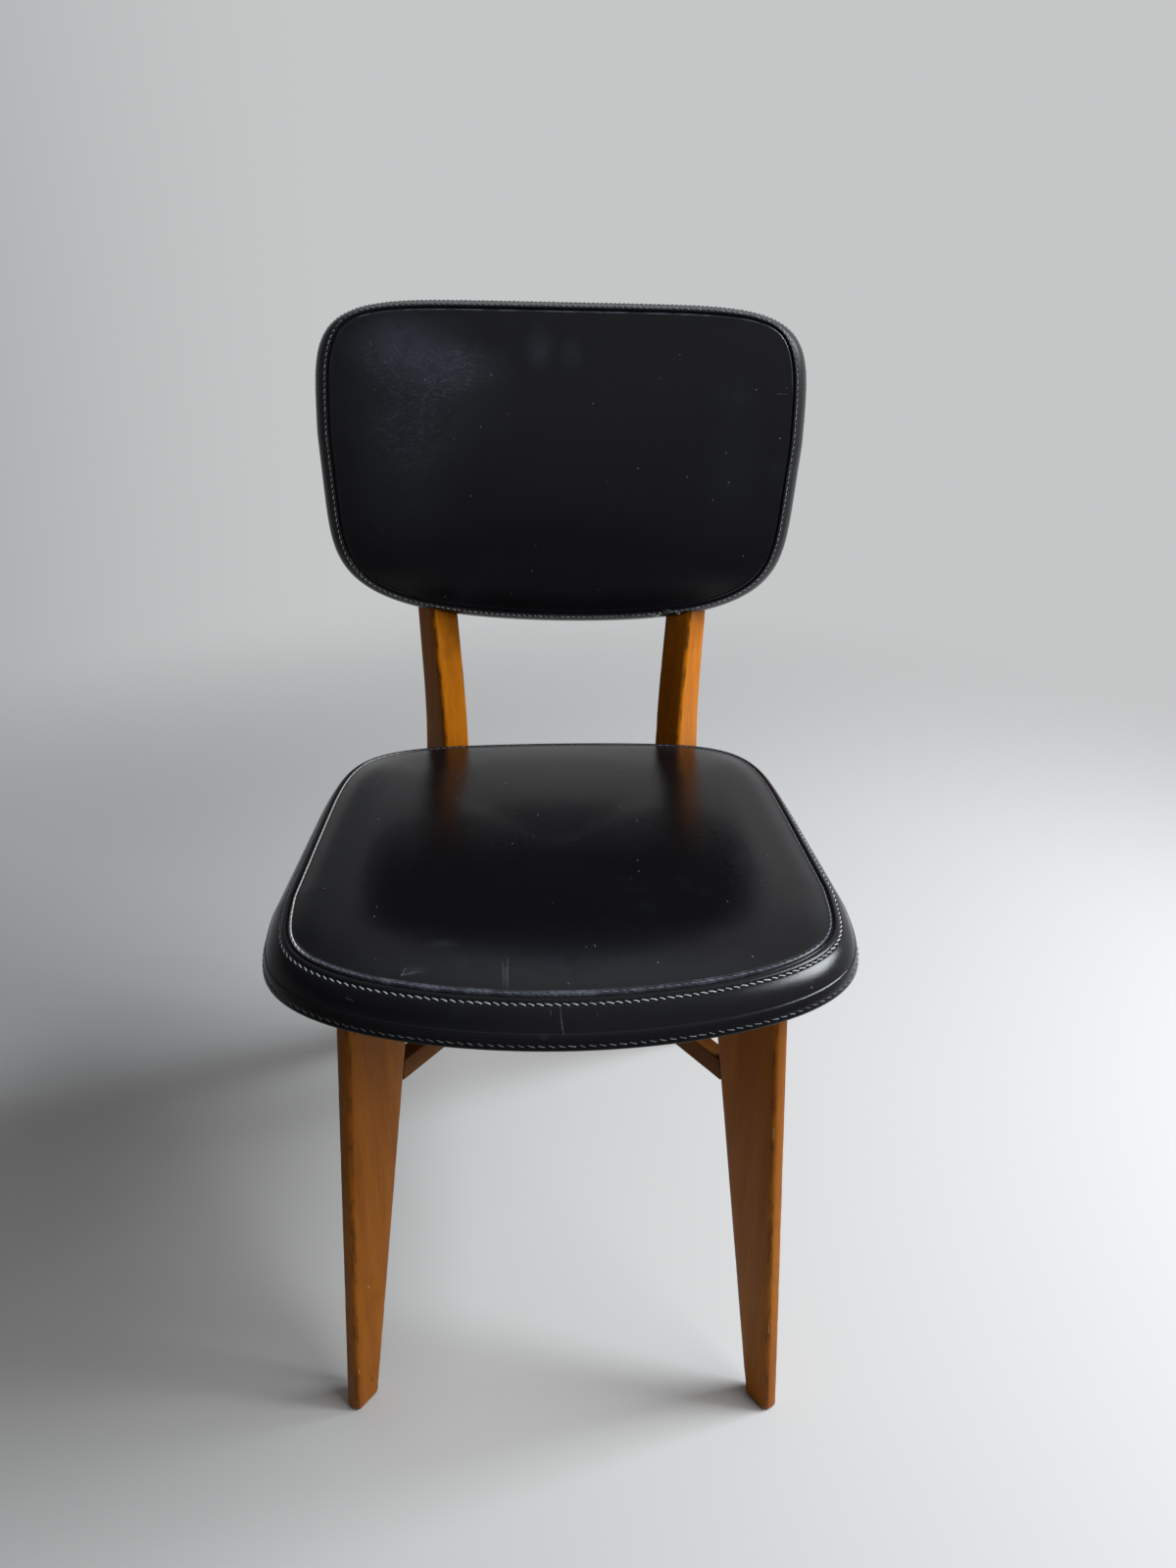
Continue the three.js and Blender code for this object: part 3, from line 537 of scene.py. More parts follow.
def makeLeg(node, mirrored, thickness, top, extent):
    z = np.unique(np.append(np.arange(legs["soleRadius"], top, legs["step"]), top))
    start, end = extent(z)
    sections = [(zz, start[0], end[0], legs["soleRadius"] * share) for zz, share in legs["soleEasing"]]
    sections += [(zz, a, b, 0.0) for zz, a, b in zip(z, start, end)]
    offset = (7 if mirrored else 0, thickness, 0)  # so that no two legs are dented alike
    rings, wear, grain, arris = [], [], [], []
    for zz, a, b, trim in sections:
        ring = []
        for u, v, corner in roundedLoop(a + trim, b - trim, thickness - 2 * trim, legs["edgeRadius"]):
            v += trim
            spot = noiseSpot((u, v, zz), legs["dentScale"], offset)
            rough = noise.noise(spot) + 0.5 * noise.noise(spot * 3.1)
            low = max(0, 1 - zz / legs["chipsBelow"])
            chipped = noise.noise(noiseSpot((u, v, zz), legs["chipScale"], (0, 3.7, 0)))
            chip = max(0, chipped - legs["chipLevel"]) * low
            dent = corner * max(0, rough - legs["dentLevel"]) * legs["edgeWear"]
            dent += chip * legs["chipSize"] * (0.3 + corner)
            away = Vector((u - (a + b) / 2, v - thickness / 2)).normalized() * dent
            x, y = frameToChair(u - away.x, v - away.y, mirrored)
            ring.append((x, y, zz * mm))
            wear.append(min(1, dent / 0.5))
            arris.append(corner)
            grain.append((u * mm, v * mm, zz * mm))
        rings.append(np.array(ring))
    wear += [0, 0]
    arris += [0, 0]
    grain += [(0, 0, 0), (0, 0, top * mm)]
    piece = makeMesh(node + "_board", *loftRings(rings, rings[0].mean(0), rings[-1].mean(0)))
    for name, values in (("wear", wear), ("arris", arris), ("grain", grain)):
        setAttribute(piece.data, name, values)
    outwardFaces(piece)
    return piece


legPieces = {}
for node, mirrored, extent, thickness, top in (
        ("front_left_leg", False, frontExtent, legs["frontThickness"], legs["seatUnderside"]),
        ("front_right_leg", True, frontExtent, legs["frontThickness"], legs["seatUnderside"]),
        ("rear_right_leg", False, rearExtent, legs["rearThickness"], postTop),
        ("rear_left_leg", True, rearExtent, legs["rearThickness"], postTop)):
    legPieces[node] = makeLeg(node, mirrored, thickness, top, extent)
print("legs made")


rails = {
    "seatEase": 1.2, "crossEase": 1.4, "longEdge": 40, "squareAngle": 60, "easeSteps": 3, "sharpAngle": 35,
    "seatRails": ("front_seat_rail", "rear_seat_rail", "left_seat_rail", "right_seat_rail"),
    "crossRails": ("cross_rail_low", "cross_rail_high"),
}


# A rail is its CAD solid with the long edges eased
def makeRail(node, ease):
    shape = bmesh.new()
    shape.from_mesh(nodes[node].data)
    bmesh.ops.remove_doubles(shape, verts=shape.verts, dist=0.02 * mm)
    bmesh.ops.dissolve_limit(shape, angle_limit=math.radians(1), verts=shape.verts, edges=shape.edges)
    longEnough, square = rails["longEdge"] * mm, math.radians(rails["squareAngle"])
    long = [e for e in shape.edges
            if e.calc_length() > longEnough and e.is_manifold and e.calc_face_angle(0) > square]
    bmesh.ops.bevel(shape, geom=long, offset=ease * mm, segments=rails["easeSteps"], profile=0.5,
                    affect="EDGES")
    bmesh.ops.triangulate(shape, faces=[f for f in shape.faces if len(f.verts) > 4])
    mesh = bpy.data.meshes.new(node + "_bar")
    shape.to_mesh(mesh)
    shape.free()
    mesh.polygons.foreach_set("use_smooth", [True] * len(mesh.polygons))
    mesh.set_sharp_from_angle(angle=math.radians(rails["sharpAngle"]))
    points = np.array([v.co for v in mesh.vertices])
    centre = (points.max(0) + points.min(0)) / 2
    along = np.linalg.svd(points - centre, full_matrices=False)[2][0]
    across = np.cross([0, 0, 1], along)
    own = np.column_stack([(points - centre) @ across, points[:, 2], (points - centre) @ along])
    for name, values in (("grain", own), ("wear", np.zeros(len(points))), ("arris", np.zeros(len(points)))):
        setAttribute(mesh, name, values)
    return addPiece(node + "_bar", mesh)


railPieces = {node: makeRail(node, rails["seatEase"]) for node in rails["seatRails"]}
railPieces.update({node: makeRail(node, rails["crossEase"]) for node in rails["crossRails"]})
print("rails made")


def newMaterial(name):
    material = bpy.data.materials.new(name)
    material.use_nodes = True
    tree = material.node_tree
    tree.nodes.clear()
    output = tree.nodes.new("ShaderNodeOutputMaterial")
    shader = tree.nodes.new("ShaderNodeBsdfPrincipled")
    tree.links.new(shader.outputs[0], output.inputs[0])
    return material, tree, shader


def addNode(tree, kind, inputs=(), **settings):
    made = tree.nodes.new(kind)
    for key, value in settings.items():
        setattr(made, key, value)
    for key, value in dict(inputs).items():
        socket = made.inputs[key]
        if isinstance(value, bpy.types.NodeSocket):
            tree.links.new(value, socket)
        else:
            socket.default_value = value
    return made


def mathNode(tree, operation, a, b=0.0):
    return addNode(tree, "ShaderNodeMath", {0: a, 1: b}, operation=operation).outputs[0]


# Goes smoothly from start to end while the value goes from low to high
def ramp(tree, value, low, high, start=0.0, end=1.0):
    inputs = {"Value": value, "From Min": low, "From Max": high, "To Min": start, "To Max": end}
    return addNode(tree, "ShaderNodeMapRange", inputs, interpolation_type="SMOOTHSTEP").outputs[0]


def mixColour(tree, part, a, b, blend="MIX"):
    return addNode(tree, "ShaderNodeMix", {0: part, 6: a, 7: b}, data_type="RGBA", blend_type=blend).outputs[2]


def noiseNode(tree, vector, scale, detail=3.0, roughness=0.5, distortion=0.0):
    return addNode(tree, "ShaderNodeTexNoise", {"Vector": vector, "Scale": scale, "Detail": detail,
                                                "Roughness": roughness, "Distortion": distortion}).outputs[0]


def stretched(tree, vector, scale):
    return addNode(tree, "ShaderNodeMapping", {"Vector": vector, "Scale": scale}).outputs[0]


def vectorNode(tree, operation, a, b):
    return addNode(tree, "ShaderNodeVectorMath", {0: a, 1: b}, operation=operation).outputs[0]


def lengthNode(tree, vector):
    return addNode(tree, "ShaderNodeVectorMath", {0: vector}, operation="LENGTH").outputs["Value"]


def objectPlace(tree):
    return addNode(tree, "ShaderNodeTexCoord").outputs["Object"]


def readAttribute(tree, name, output="Fac"):
    return addNode(tree, "ShaderNodeAttribute", attribute_name=name).outputs[output]


# How far a point is from a short line
def lineDistance(tree, place, start, end):
    start, end = Vector(start), Vector(end)
    run = end - start
    away = vectorNode(tree, "SUBTRACT", place, start)
    dot = addNode(tree, "ShaderNodeVectorMath", {0: away, 1: run / max(run.length_squared, 1e-12)},
                  operation="DOT_PRODUCT").outputs["Value"]
    part = mathNode(tree, "MINIMUM", mathNode(tree, "MAXIMUM", dot, 0.0), 1.0)
    along = addNode(tree, "ShaderNodeVectorMath", {0: run, "Scale": part}, operation="SCALE").outputs[0]
    return lengthNode(tree, vectorNode(tree, "SUBTRACT", away, along))


# Full inside a band of values and fading over its soft edges
def between(tree, value, low, high, soft):
    return mathNode(tree, "MULTIPLY", ramp(tree, value, low - soft, low), ramp(tree, value, high + soft, high))


def finishShader(tree, shader, colour, roughness, height, strength, distance):
    bump = addNode(tree, "ShaderNodeBump", {"Height": height, "Strength": strength, "Distance": distance * mm})
    for name, value in (("Base Color", colour), ("Roughness", roughness), ("Normal", bump.outputs[0])):
        tree.links.new(value, shader.inputs[name])


vinylLook = {
    "black": (0.0042, 0.0042, 0.0050, 1), "haze": (0.034, 0.038, 0.052, 1), "dust": (0.30, 0.29, 0.27, 1),
    # The rub colour is real rubbing on the seat's front and the back's top edge, and also painted highlights: a
    # line on the seat's right edge and glints on the back's creases.
    "cream": (0.88, 0.85, 0.78, 1), "rubAndSheen": (0.105, 0.115, 0.145, 1), "scratch": (0.24, 0.25, 0.27, 1),
    "roughness": 0.09, "grainScale": 1100.0, "creaseScale": 170.0, "speckScale": 300.0,
}
# A haze is a middle, its three radii and its strength. A scratch is where it starts and ends, its
# width in millimetres, its strength, and the side it lies on: the panel or the band of the pad.
# A mask keeps the two axes that a scratch on that side is drawn in.
seatWear = {
    "specular": 0.3, "bandRoughness": 0.19, "panelMask": (1, 1, 0), "bandMask": (1, 0, 1),
    "rubbedEdge": "front", "wrinkled": False,
    "hazes": [((0.0, -0.225, 0.455), (0.20, 0.035, 0.03), 0.20),
              ((-0.084, -0.199, 0.457), (0.015, 0.007, 0.02), 0.22),
              ((-0.100, -0.226, 0.455), (0.015, 0.007, 0.02), 0.22),
              ((-0.012, -0.272, 0.434), (0.006, 0.006, 0.003), 0.4)],
    "scratches": [
        ((-0.1096, -0.2307, 0), (-0.0958, -0.2277, 0), 1.1, 0.17, "panel"),
        ((-0.1096, -0.2307, 0), (-0.1076, -0.2244, 0), 0.9, 0.20, "panel"),
        ((-0.1040, -0.2300, 0), (-0.0990, -0.2250, 0), 1.6, 0.08, "panel"),
        ((-0.0409, -0.2201, 0), (-0.0392, -0.2450, 0), 0.60, 0.12, "panel"),
        ((-0.0377, -0.2140, 0), (-0.0365, -0.2450, 0), 0.60, 0.16, "panel"),
        ((-0.0390, -0.2250, 0), (-0.0375, -0.2420, 0), 2.2, 0.06, "panel"),
        ((0.0045, -0.2399, 0), (0.0046, -0.2405, 0), 0.8, 0.25, "panel"),
        ((0.0171, -0.2023, 0), (0.0175, -0.2027, 0), 0.7, 0.45, "panel"),
        ((0.0233, -0.2001, 0), (0.0234, -0.2018, 0), 0.6, 0.45, "panel"),
        ((-0.0011, 0, 0.4485), (0.0012, 0, 0.4360), 0.42, 0.26, "band"),
        ((-0.0007, 0, 0.4440), (0.0004, 0, 0.4390), 1.0, 0.10, "band"),
        ((-0.0078, 0, 0.4475), (-0.0071, 0, 0.4459), 0.5, 0.20, "band"),
        ((0.0235, 0, 0.4462), (0.0237, 0, 0.4441), 0.45, 0.14, "band"),
        ((-0.1465, 0, 0.4442), (-0.1415, 0, 0.4437), 0.55, 0.40, "band")],
}
backWear = {
    "specular": 0.38, "bandRoughness": 0.34, "panelMask": (1, 0, 1), "bandMask": (1, 0, 1),
    "rubbedEdge": "top", "wrinkled": True,
    "hazes": [((-0.150, 0.174, 0.812), (0.055, 0.04, 0.036), 0.50),
              ((-0.122, 0.172, 0.800), (0.065, 0.04, 0.044), 0.50),
              ((-0.088, 0.168, 0.790), (0.060, 0.04, 0.030), 0.32),
              ((-0.125, 0.165, 0.762), (0.095, 0.04, 0.080), 0.36),
              ((-0.140, 0.160, 0.700), (0.065, 0.04, 0.080), 0.20),
              ((-0.019, 0.172, 0.804), (0.016, 0.03, 0.023), 0.34),
              ((0.0080, 0.171, 0.801), (0.013, 0.03, 0.017), 0.26),
              ((0.150, 0.160, 0.710), (0.035, 0.03, 0.065), 0.08)],
    "scratches": [
        ((-0.1627, 0, 0.8106), (-0.1612, 0, 0.8075), 0.8, 0.40, "panel"),
        ((-0.1574, 0, 0.7983), (-0.1507, 0, 0.7984), 0.45, 0.18, "panel"),
        ((-0.1509, 0, 0.7938), (-0.1442, 0, 0.7938), 0.45, 0.18, "panel"),
        ((-0.1420, 0, 0.8069), (-0.1340, 0, 0.7978), 0.50, 0.24, "panel"),
        ((-0.1660, 0, 0.6631), (-0.1588, 0, 0.6504), 0.45, 0.14, "panel"),
        ((0.1842, 0, 0.7682), (0.1946, 0, 0.7680), 0.40, 0.16, "panel")],
}


def makeVinyl(name, worn):
    look = vinylLook
    material, tree, shader = newMaterial(name)
    place = objectPlace(tree)
    seam = readAttribute(tree, "seam")
    axes = addNode(tree, "ShaderNodeSeparateXYZ", {0: place}).outputs
    cloud = noiseNode(tree, place, 14, 5, 0.6)
    patch = noiseNode(tree, place, 55, 4, 0.65)
    fine = noiseNode(tree, place, 420, 3, 0.6)
    times = lambda a, b: mathNode(tree, "MULTIPLY", a, b)
    plus = lambda a, b: mathNode(tree, "ADD", a, b)
    haze = ramp(tree, cloud, 0.56, 0.82, 0.0, 0.16)
    for centre, size, strength in worn["hazes"]:
        near = vectorNode(tree, "MULTIPLY", vectorNode(tree, "SUBTRACT", place, centre), [1 / r for r in size])
        length = plus(lengthNode(tree, near), times(mathNode(tree, "SUBTRACT", patch, 0.5), 0.7))
        haze = plus(haze, ramp(tree, length, 1.0, 0.1, 0.0, strength))
    haze = mathNode(tree, "MINIMUM", times(haze, ramp(tree, patch, 0.3, 0.6, 0.5, 1.0)), 1.0)
    colour = mixColour(tree, haze, look["black"], look["haze"])
    if worn["wrinkled"]:  # short level lines where the cover has been pressed and bent
        waves = noiseNode(tree, stretched(tree, place, (75, 75, 250)), 1, 2, 0.6, 0.6)
        thin = ramp(tree, mathNode(tree, "ABSOLUTE", mathNode(tree, "SUBTRACT", waves, 0.5)), 0.035, 0.0)
        creases = times(thin, ramp(tree, haze, 0.12, 0.5))
        creases = times(creases, ramp(tree, axes[2], 0.812, 0.795))
        # The creases are lightened in the rub colour as painted glints of light on them; their real relief is
        # added to the bump further down.
        colour = mixColour(tree, times(creases, 0.35), colour, look["rubAndSheen"])
    cells = addNode(tree, "ShaderNodeTexVoronoi", {"Vector": place, "Scale": look["speckScale"]}).outputs
    pick = addNode(tree, "ShaderNodeSeparateColor", {0: cells["Color"]}).outputs[0]
    speck = times(mathNode(tree, "GREATER_THAN", pick, 0.993), ramp(tree, cells["Distance"], 0.24, 0.10))
    colour = mixColour(tree, times(speck, 0.45), colour, look["dust"])
    if worn["rubbedEdge"] == "front":
        rubbed = times(between(tree, seam, -4.4, -1.3, 1.3), ramp(tree, patch, 0.36, 0.62, 0.30, 1.0))
        uneven = ramp(tree, fine, 0.30, 0.62, 0.30, 1.0)
        rubbed = times(rubbed, times(ramp(tree, axes[1], -0.175, -0.235), uneven))
        rubbed = times(rubbed, ramp(tree, axes[0], 0.15, 0.02, 0.45, 1.0))
        colour = mixColour(tree, times(rubbed, 0.85), colour, look["rubAndSheen"])
        # The piping is worn through to its pale core along the left side
        line = times(between(tree, seam, -3.0, -1.4, 0.35), ramp(tree, axes[0], -0.13, -0.17))
        line = times(line, times(ramp(tree, axes[1], -0.217, -0.188), ramp(tree, fine, 0.25, 0.42, 0.6, 1.0)))
        colour = mixColour(tree, line, colour, look["cream"])
        # Painted highlight: a pale line in the rub colour along the right edge of the panel, for the light
        # caught on its rolled edge.
        right = times(between(tree, seam, -2.2, -1.5, 0.4), ramp(tree, axes[0], 0.13, 0.17, 0.0, 0.35))
        colour = mixColour(tree, times(right, ramp(tree, axes[1], -0.22, -0.18)), colour, look["rubAndSheen"])
    else:
        rubbed = times(between(tree, seam, -1.9, -1.1, 0.5), ramp(tree, patch, 0.40, 0.60, 0.1, 0.5))
        rubbed = times(rubbed, ramp(tree, axes[2], 0.76, 0.81))
        colour = mixColour(tree, rubbed, colour, look["rubAndSheen"])
    flats = {side: vectorNode(tree, "MULTIPLY", place, worn[side + "Mask"]) for side in ("panel", "band")}
    sides = {"panel": ramp(tree, seam, -1.0, -1.8), "band": ramp(tree, seam, 6.9, 7.6)}
    ragged = times(mathNode(tree, "SUBTRACT", fine, 0.5), 0.9 * mm)
    broken = ramp(tree, patch, 0.35, 0.6, 0.45, 1.0)
    for start, end, width, strength, side in worn["scratches"]:
        spread = plus(lineDistance(tree, flats[side], start, end), ragged)
        mark = times(ramp(tree, spread, width * mm, width * 0.1 * mm, 0.0, strength), broken)
        colour = mixColour(tree, times(mark, sides[side]), colour, look["scratch"])
    rough = ramp(tree, seam, 0.0, 2.0, look["roughness"], worn["bandRoughness"])
    unevenness = times(mathNode(tree, "SUBTRACT", fine, 0.4), 0.12)
    rough = plus(rough, plus(unevenness, times(plus(haze, rubbed), 0.25)))
    shader.inputs["Specular IOR Level"].default_value = worn["specular"]
    grain = addNode(tree, "ShaderNodeTexVoronoi", {"Vector": place, "Scale": look["grainScale"]},
                    feature="DISTANCE_TO_EDGE").outputs["Distance"]
    crease = addNode(tree, "ShaderNodeTexVoronoi",
                     {"Vector": stretched(tree, place, (1, 1, 1.6)), "Scale": look["creaseScale"]},
                     feature="DISTANCE_TO_EDGE").outputs["Distance"]
    creased = times(ramp(tree, crease, 0.0, 0.08), ramp(tree, haze, 0.2, 0.7, 0.0, 0.5))
    height = plus(times(ramp(tree, grain, 0.0, 0.25), 0.3), plus(creased, times(fine, 0.35)))
    if worn["wrinkled"]:
        height = plus(height, times(creases, 1.2))
    finishShader(tree, shader, colour, rough, height, 0.2, 0.3)
    return material


woodLook = {
    "light": (0.46, 0.145, 0.006, 1), "dark": (0.35, 0.098, 0.005, 1), "pore": (0.11, 0.030, 0.004, 1),
    "bare": (0.60, 0.41, 0.22, 1), "dirt": (0.085, 0.028, 0.008, 1), "sheen": (1, 0.62, 0.22, 1),
    # Painted shade: under the seat the wood keeps only this share of its colour, fading in between the two
    # heights that follow. The top shade darkens the legs just under the seat as the seat's shadow.
    "roughness": 0.33, "specular": 0.12, "below": 0.70, "topShade": 0.18, "darkFrom": 0.47, "darkTo": 0.41,
    "marks": [  # where a nick or scratch starts and ends, its width in millimetres, and what it shows
        ((-0.1584, -0.2238, 0.1335), (-0.1577, -0.2228, 0.1295), 0.55, "bare"),
        ((-0.1706, -0.2399, 0.0560), (-0.1702, -0.2393, 0.0440), 0.40, "bare"),
        ((-0.1630, -0.2300, 0.0260), (-0.1618, -0.2283, 0.0190), 1.5, "pore"),
        ((0.1700, -0.2362, 0.1010), (0.1706, -0.2370, 0.0925), 0.45, "bare"),
        ((-0.1503, -0.2129, 0.3890), (-0.1499, -0.2122, 0.3860), 1.4, "pore")],
}


def makeWood(name, look):
    material, tree, shader = newMaterial(name)
    grainPlace = readAttribute(tree, "grain", "Vector")
    place = objectPlace(tree)
    bands = noiseNode(tree, stretched(tree, grainPlace, (60, 60, 4.5)), 1, 4, 0.55, 0.6)
    fibres = noiseNode(tree, stretched(tree, grainPlace, (700, 700, 16)), 1, 3, 0.6)
    flecks = addNode(tree, "ShaderNodeTexVoronoi",
                     {"Vector": stretched(tree, grainPlace, (900, 900, 110)), "Scale": 1.0})
    fleck = ramp(tree, flecks.outputs["Distance"], 0.26, 0.05)
    colour = mixColour(tree, ramp(tree, bands, 0.3, 0.72), look["light"], look["dark"])
    colour = mixColour(tree, ramp(tree, fibres, 0.42, 0.75, 0.0, 0.30), colour, look["pore"])
    colour = mixColour(tree, mathNode(tree, "MULTIPLY", fleck, 0.35), colour, look["pore"])
    cloud = noiseNode(tree, place, 22, 4, 0.6)
    colour = mixColour(tree, ramp(tree, cloud, 0.56, 0.78, 0.0, 0.30), colour, look["dirt"])
    wear = readAttribute(tree, "wear")
    bare = ramp(tree, mathNode(tree, "ADD", wear, mathNode(tree, "MULTIPLY", fibres, 0.25)), 0.55, 0.8)
    colour = mixColour(tree, mathNode(tree, "MULTIPLY", bare, 0.7), colour, look["bare"])
    # Painted shade: the wood is darkened below the seat, and most just under it, as the shade the seat casts.
    height = addNode(tree, "ShaderNodeSeparateXYZ", {0: place}).outputs[2]
    low = ramp(tree, height, look["darkFrom"], look["darkTo"], 0.0, 1.0 - look["below"])
    top = mathNode(tree, "MULTIPLY", ramp(tree, height, 0.29, 0.39),
                   ramp(tree, height, 0.45, 0.42, 0.0, look["topShade"]))
    for shade in (low, top):
        colour = mixColour(tree, shade, colour, (0, 0, 0, 1))
    stain = ramp(tree, noiseNode(tree, stretched(tree, grainPlace, (180, 180, 40)), 1, 4, 0.65), 0.46, 0.60)
    stain = mathNode(tree, "MULTIPLY", stain, ramp(tree, readAttribute(tree, "arris"), 0.1, 0.7, 0.0, 0.75))
    colour = mixColour(tree, stain, colour, look["dirt"])
    for start, end, width, finish in look["marks"]:
        mark = ramp(tree, lineDistance(tree, place, start, end), width * mm, width * 0.2 * mm, 0.0, 0.6)
        colour = mixColour(tree, mark, colour, look[finish])
    rough = mathNode(tree, "ADD", ramp(tree, cloud, 0.35, 0.75, look["roughness"], look["roughness"] + 0.14),
                     mathNode(tree, "MULTIPLY", bare, 0.3))
    shader.inputs["Specular IOR Level"].default_value = look["specular"]
    shader.inputs["Specular Tint"].default_value = look["sheen"]
    relief = mathNode(tree, "ADD", mathNode(tree, "MULTIPLY", fibres, 0.6),
                      mathNode(tree, "MULTIPLY", fleck, -0.5))
    finishShader(tree, shader, colour, rough, relief, 0.18, 0.25)
    return material


def makePlain(name, colourA, colourB, scale, roughness, metallic=0.0):
    material, tree, shader = newMaterial(name)
    place = objectPlace(tree)
    cloud = noiseNode(tree, place, scale, 4, 0.6)
    shader.inputs["Metallic"].default_value = metallic
    finishShader(tree, shader, mixColour(tree, ramp(tree, cloud, 0.35, 0.7), colourA, colourB),
                 ramp(tree, cloud, 0.3, 0.7, roughness - 0.06, roughness + 0.08),
                 noiseNode(tree, place, scale * 14, 2), 0.3, 0.1)
    return material


seatVinyl = makeVinyl("seatLeathercloth", seatWear)
backVinyl = makeVinyl("backLeathercloth", backWear)
beech = makeWood("varnishedBeech", woodLook)
# Painted shade: the rails take a darker copy of the beech, standing for the shade under the seat.
railLook = {**woodLook, "light": (0.15, 0.055, 0.009, 1), "dark": (0.095, 0.031, 0.005, 1),
            "roughness": 0.5, "below": 1.0, "marks": []}
railBeech = makeWood("shadedBeech", railLook)
bareBeech = makePlain("bareBeech", (0.60, 0.42, 0.24, 1), (0.48, 0.31, 0.16, 1), 60, 0.65)
plywood = makePlain("plywoodBoard", (0.50, 0.35, 0.20, 1), (0.38, 0.25, 0.13, 1), 40, 0.7)
screwSteel = makePlain("dulledSteel", (0.42, 0.40, 0.37, 1), (0.22, 0.15, 0.10, 1), 260, 0.48, 0.9)
paleThread = makePlain("paleThread", (0.46, 0.48, 0.50, 1), (0.26, 0.27, 0.29, 1), 500, 0.7)
dimThread = makePlain("dimThread", (0.30, 0.31, 0.33, 1), (0.10, 0.104, 0.112, 1), 400, 0.65)
lowThread = makePlain("lowThread", (0.17, 0.178, 0.19, 1), (0.05, 0.053, 0.058, 1), 400, 0.65)
blackThread = makePlain("blackThread", (0.018, 0.018, 0.020, 1), (0.045, 0.046, 0.050, 1), 400, 0.6)
edgeThread = makePlain("edgeThread", (0.17, 0.185, 0.225, 1), (0.06, 0.066, 0.082, 1), 500, 0.6)
print("materials made")


def setMaterial(piece, material):
    piece.data.materials.clear()
    piece.data.materials.append(material)


setMaterial(seatPadding, seatVinyl)
setMaterial(backPadding, backVinyl)
for piece in legPieces.values():
    setMaterial(piece, beech)
for piece in railPieces.values():
    setMaterial(piece, railBeech)
for node, piece in nodes.items():
    for word, finish in (("screw", screwSteel), ("dowel", bareBeech), ("board", plywood)):
        if word in node:
            setMaterial(piece, finish)


# Stitches set along a sewn line by geometry nodes
def stitchTree():
    tree = bpy.data.node_groups.new("sewnStitches", "GeometryNodeTree")
    face = tree.interface
    face.new_socket("Line", in_out="INPUT", socket_type="NodeSocketGeometry")
    for name, value, kind in (("Pitch", 0.005, "NodeSocketFloat"), ("Length", 0.004, "NodeSocketFloat"),
                              ("Thread Radius", 0.0004, "NodeSocketFloat"), ("Arch", 0.0004, "NodeSocketFloat"),
                              ("Slant", 0.35, "NodeSocketFloat"), ("Unevenness", 0.12, "NodeSocketFloat"),
                              ("Seed", 3, "NodeSocketInt"), ("Thread", None, "NodeSocketMaterial")):
        socket = face.new_socket(name, in_out="INPUT", socket_type=kind)
        if value is not None:
            socket.default_value = value
    face.new_socket("Stitches", in_out="OUTPUT", socket_type="NodeSocketGeometry")
    start = tree.nodes.new("NodeGroupInput")
    end = tree.nodes.new("NodeGroupOutput")
    given = start.outputs
    add = lambda kind, inputs=(), **settings: addNode(tree, kind, inputs, **settings)
    times = lambda a, b: add("ShaderNodeMath", {0: a, 1: b}, operation="MULTIPLY").outputs[0]
    line = add("GeometryNodeMeshToCurve", {"Mesh": given["Line"]}).outputs[0]
    line = add("GeometryNodeResampleCurve", {"Curve": line, "Length": given["Pitch"]}, mode="LENGTH").outputs[0]
    half = times(given["Length"], 0.5)
    low = add("ShaderNodeCombineXYZ", {0: times(half, -1.0)}).outputs[0]
    high = add("ShaderNodeCombineXYZ", {0: half}).outputs[0]
    rise = add("ShaderNodeCombineXYZ", {2: times(given["Arch"], 2.0)}).outputs[0]
    bow = add("GeometryNodeCurveQuadraticBezier", {"Resolution": 5, "Start": low, "Middle": rise, "End": high})
    section = add("GeometryNodeCurvePrimitiveCircle", {"Resolution": 6, "Radius": given["Thread Radius"]})
    stitch = add("GeometryNodeCurveToMesh", {"Curve": bow.outputs[0], "Profile Curve": section.outputs[0],
                                             "Fill Caps": True}).outputs[0]
    stitch = add("GeometryNodeSetShadeSmooth", {"Geometry": stitch}).outputs[0]
    tangent = add("GeometryNodeInputTangent").outputs[0]
    outward = add("GeometryNodeInputNamedAttribute", {"Name": "outward"}, data_type="FLOAT_VECTOR").outputs[0]
    turn = add("FunctionNodeAlignRotationToVector", {"Vector": tangent}, axis="X").outputs[0]
    turn = add("FunctionNodeAlignRotationToVector", {"Rotation": turn, "Vector": outward}, axis="Z",
               pivot_axis="X").outputs[0]
    wobble = add("FunctionNodeRandomValue", {2: times(given["Unevenness"], -1.0), 3: given["Unevenness"],
                                             "Seed": given["Seed"]}, data_type="FLOAT").outputs[1]
    angle = add("ShaderNodeMath", {0: given["Slant"], 1: wobble}, operation="ADD").outputs[0]
    slant = add("ShaderNodeCombineXYZ", {2: angle}).outputs[0]
    slant = add("FunctionNodeEulerToRotation", {0: slant}).outputs[0]
    turn = add("FunctionNodeRotateRotation", {"Rotation": turn, "Rotate By": slant},
               rotation_space="LOCAL").outputs[0]
    size = add("ShaderNodeMath", {0: wobble, 1: 1.0}, operation="ADD").outputs[0]
    placed = add("GeometryNodeInstanceOnPoints", {"Points": line, "Instance": stitch, "Rotation": turn,
                                                  "Scale": size}).outputs[0]
    solid = add("GeometryNodeRealizeInstances", {"Geometry": placed}).outputs[0]
    done = add("GeometryNodeSetMaterial", {"Geometry": solid, "Material": given["Thread"]}).outputs[0]
    tree.links.new(done, end.inputs[0])
    return tree


sewing = stitchTree()


# Turns a sewing path or a curve into a plain mesh
def plainPiece(name, source):
    mesh = bpy.data.meshes.new_from_object(source.evaluated_get(bpy.context.evaluated_depsgraph_get()))
    bpy.data.objects.remove(source)
    return addPiece(name, mesh)


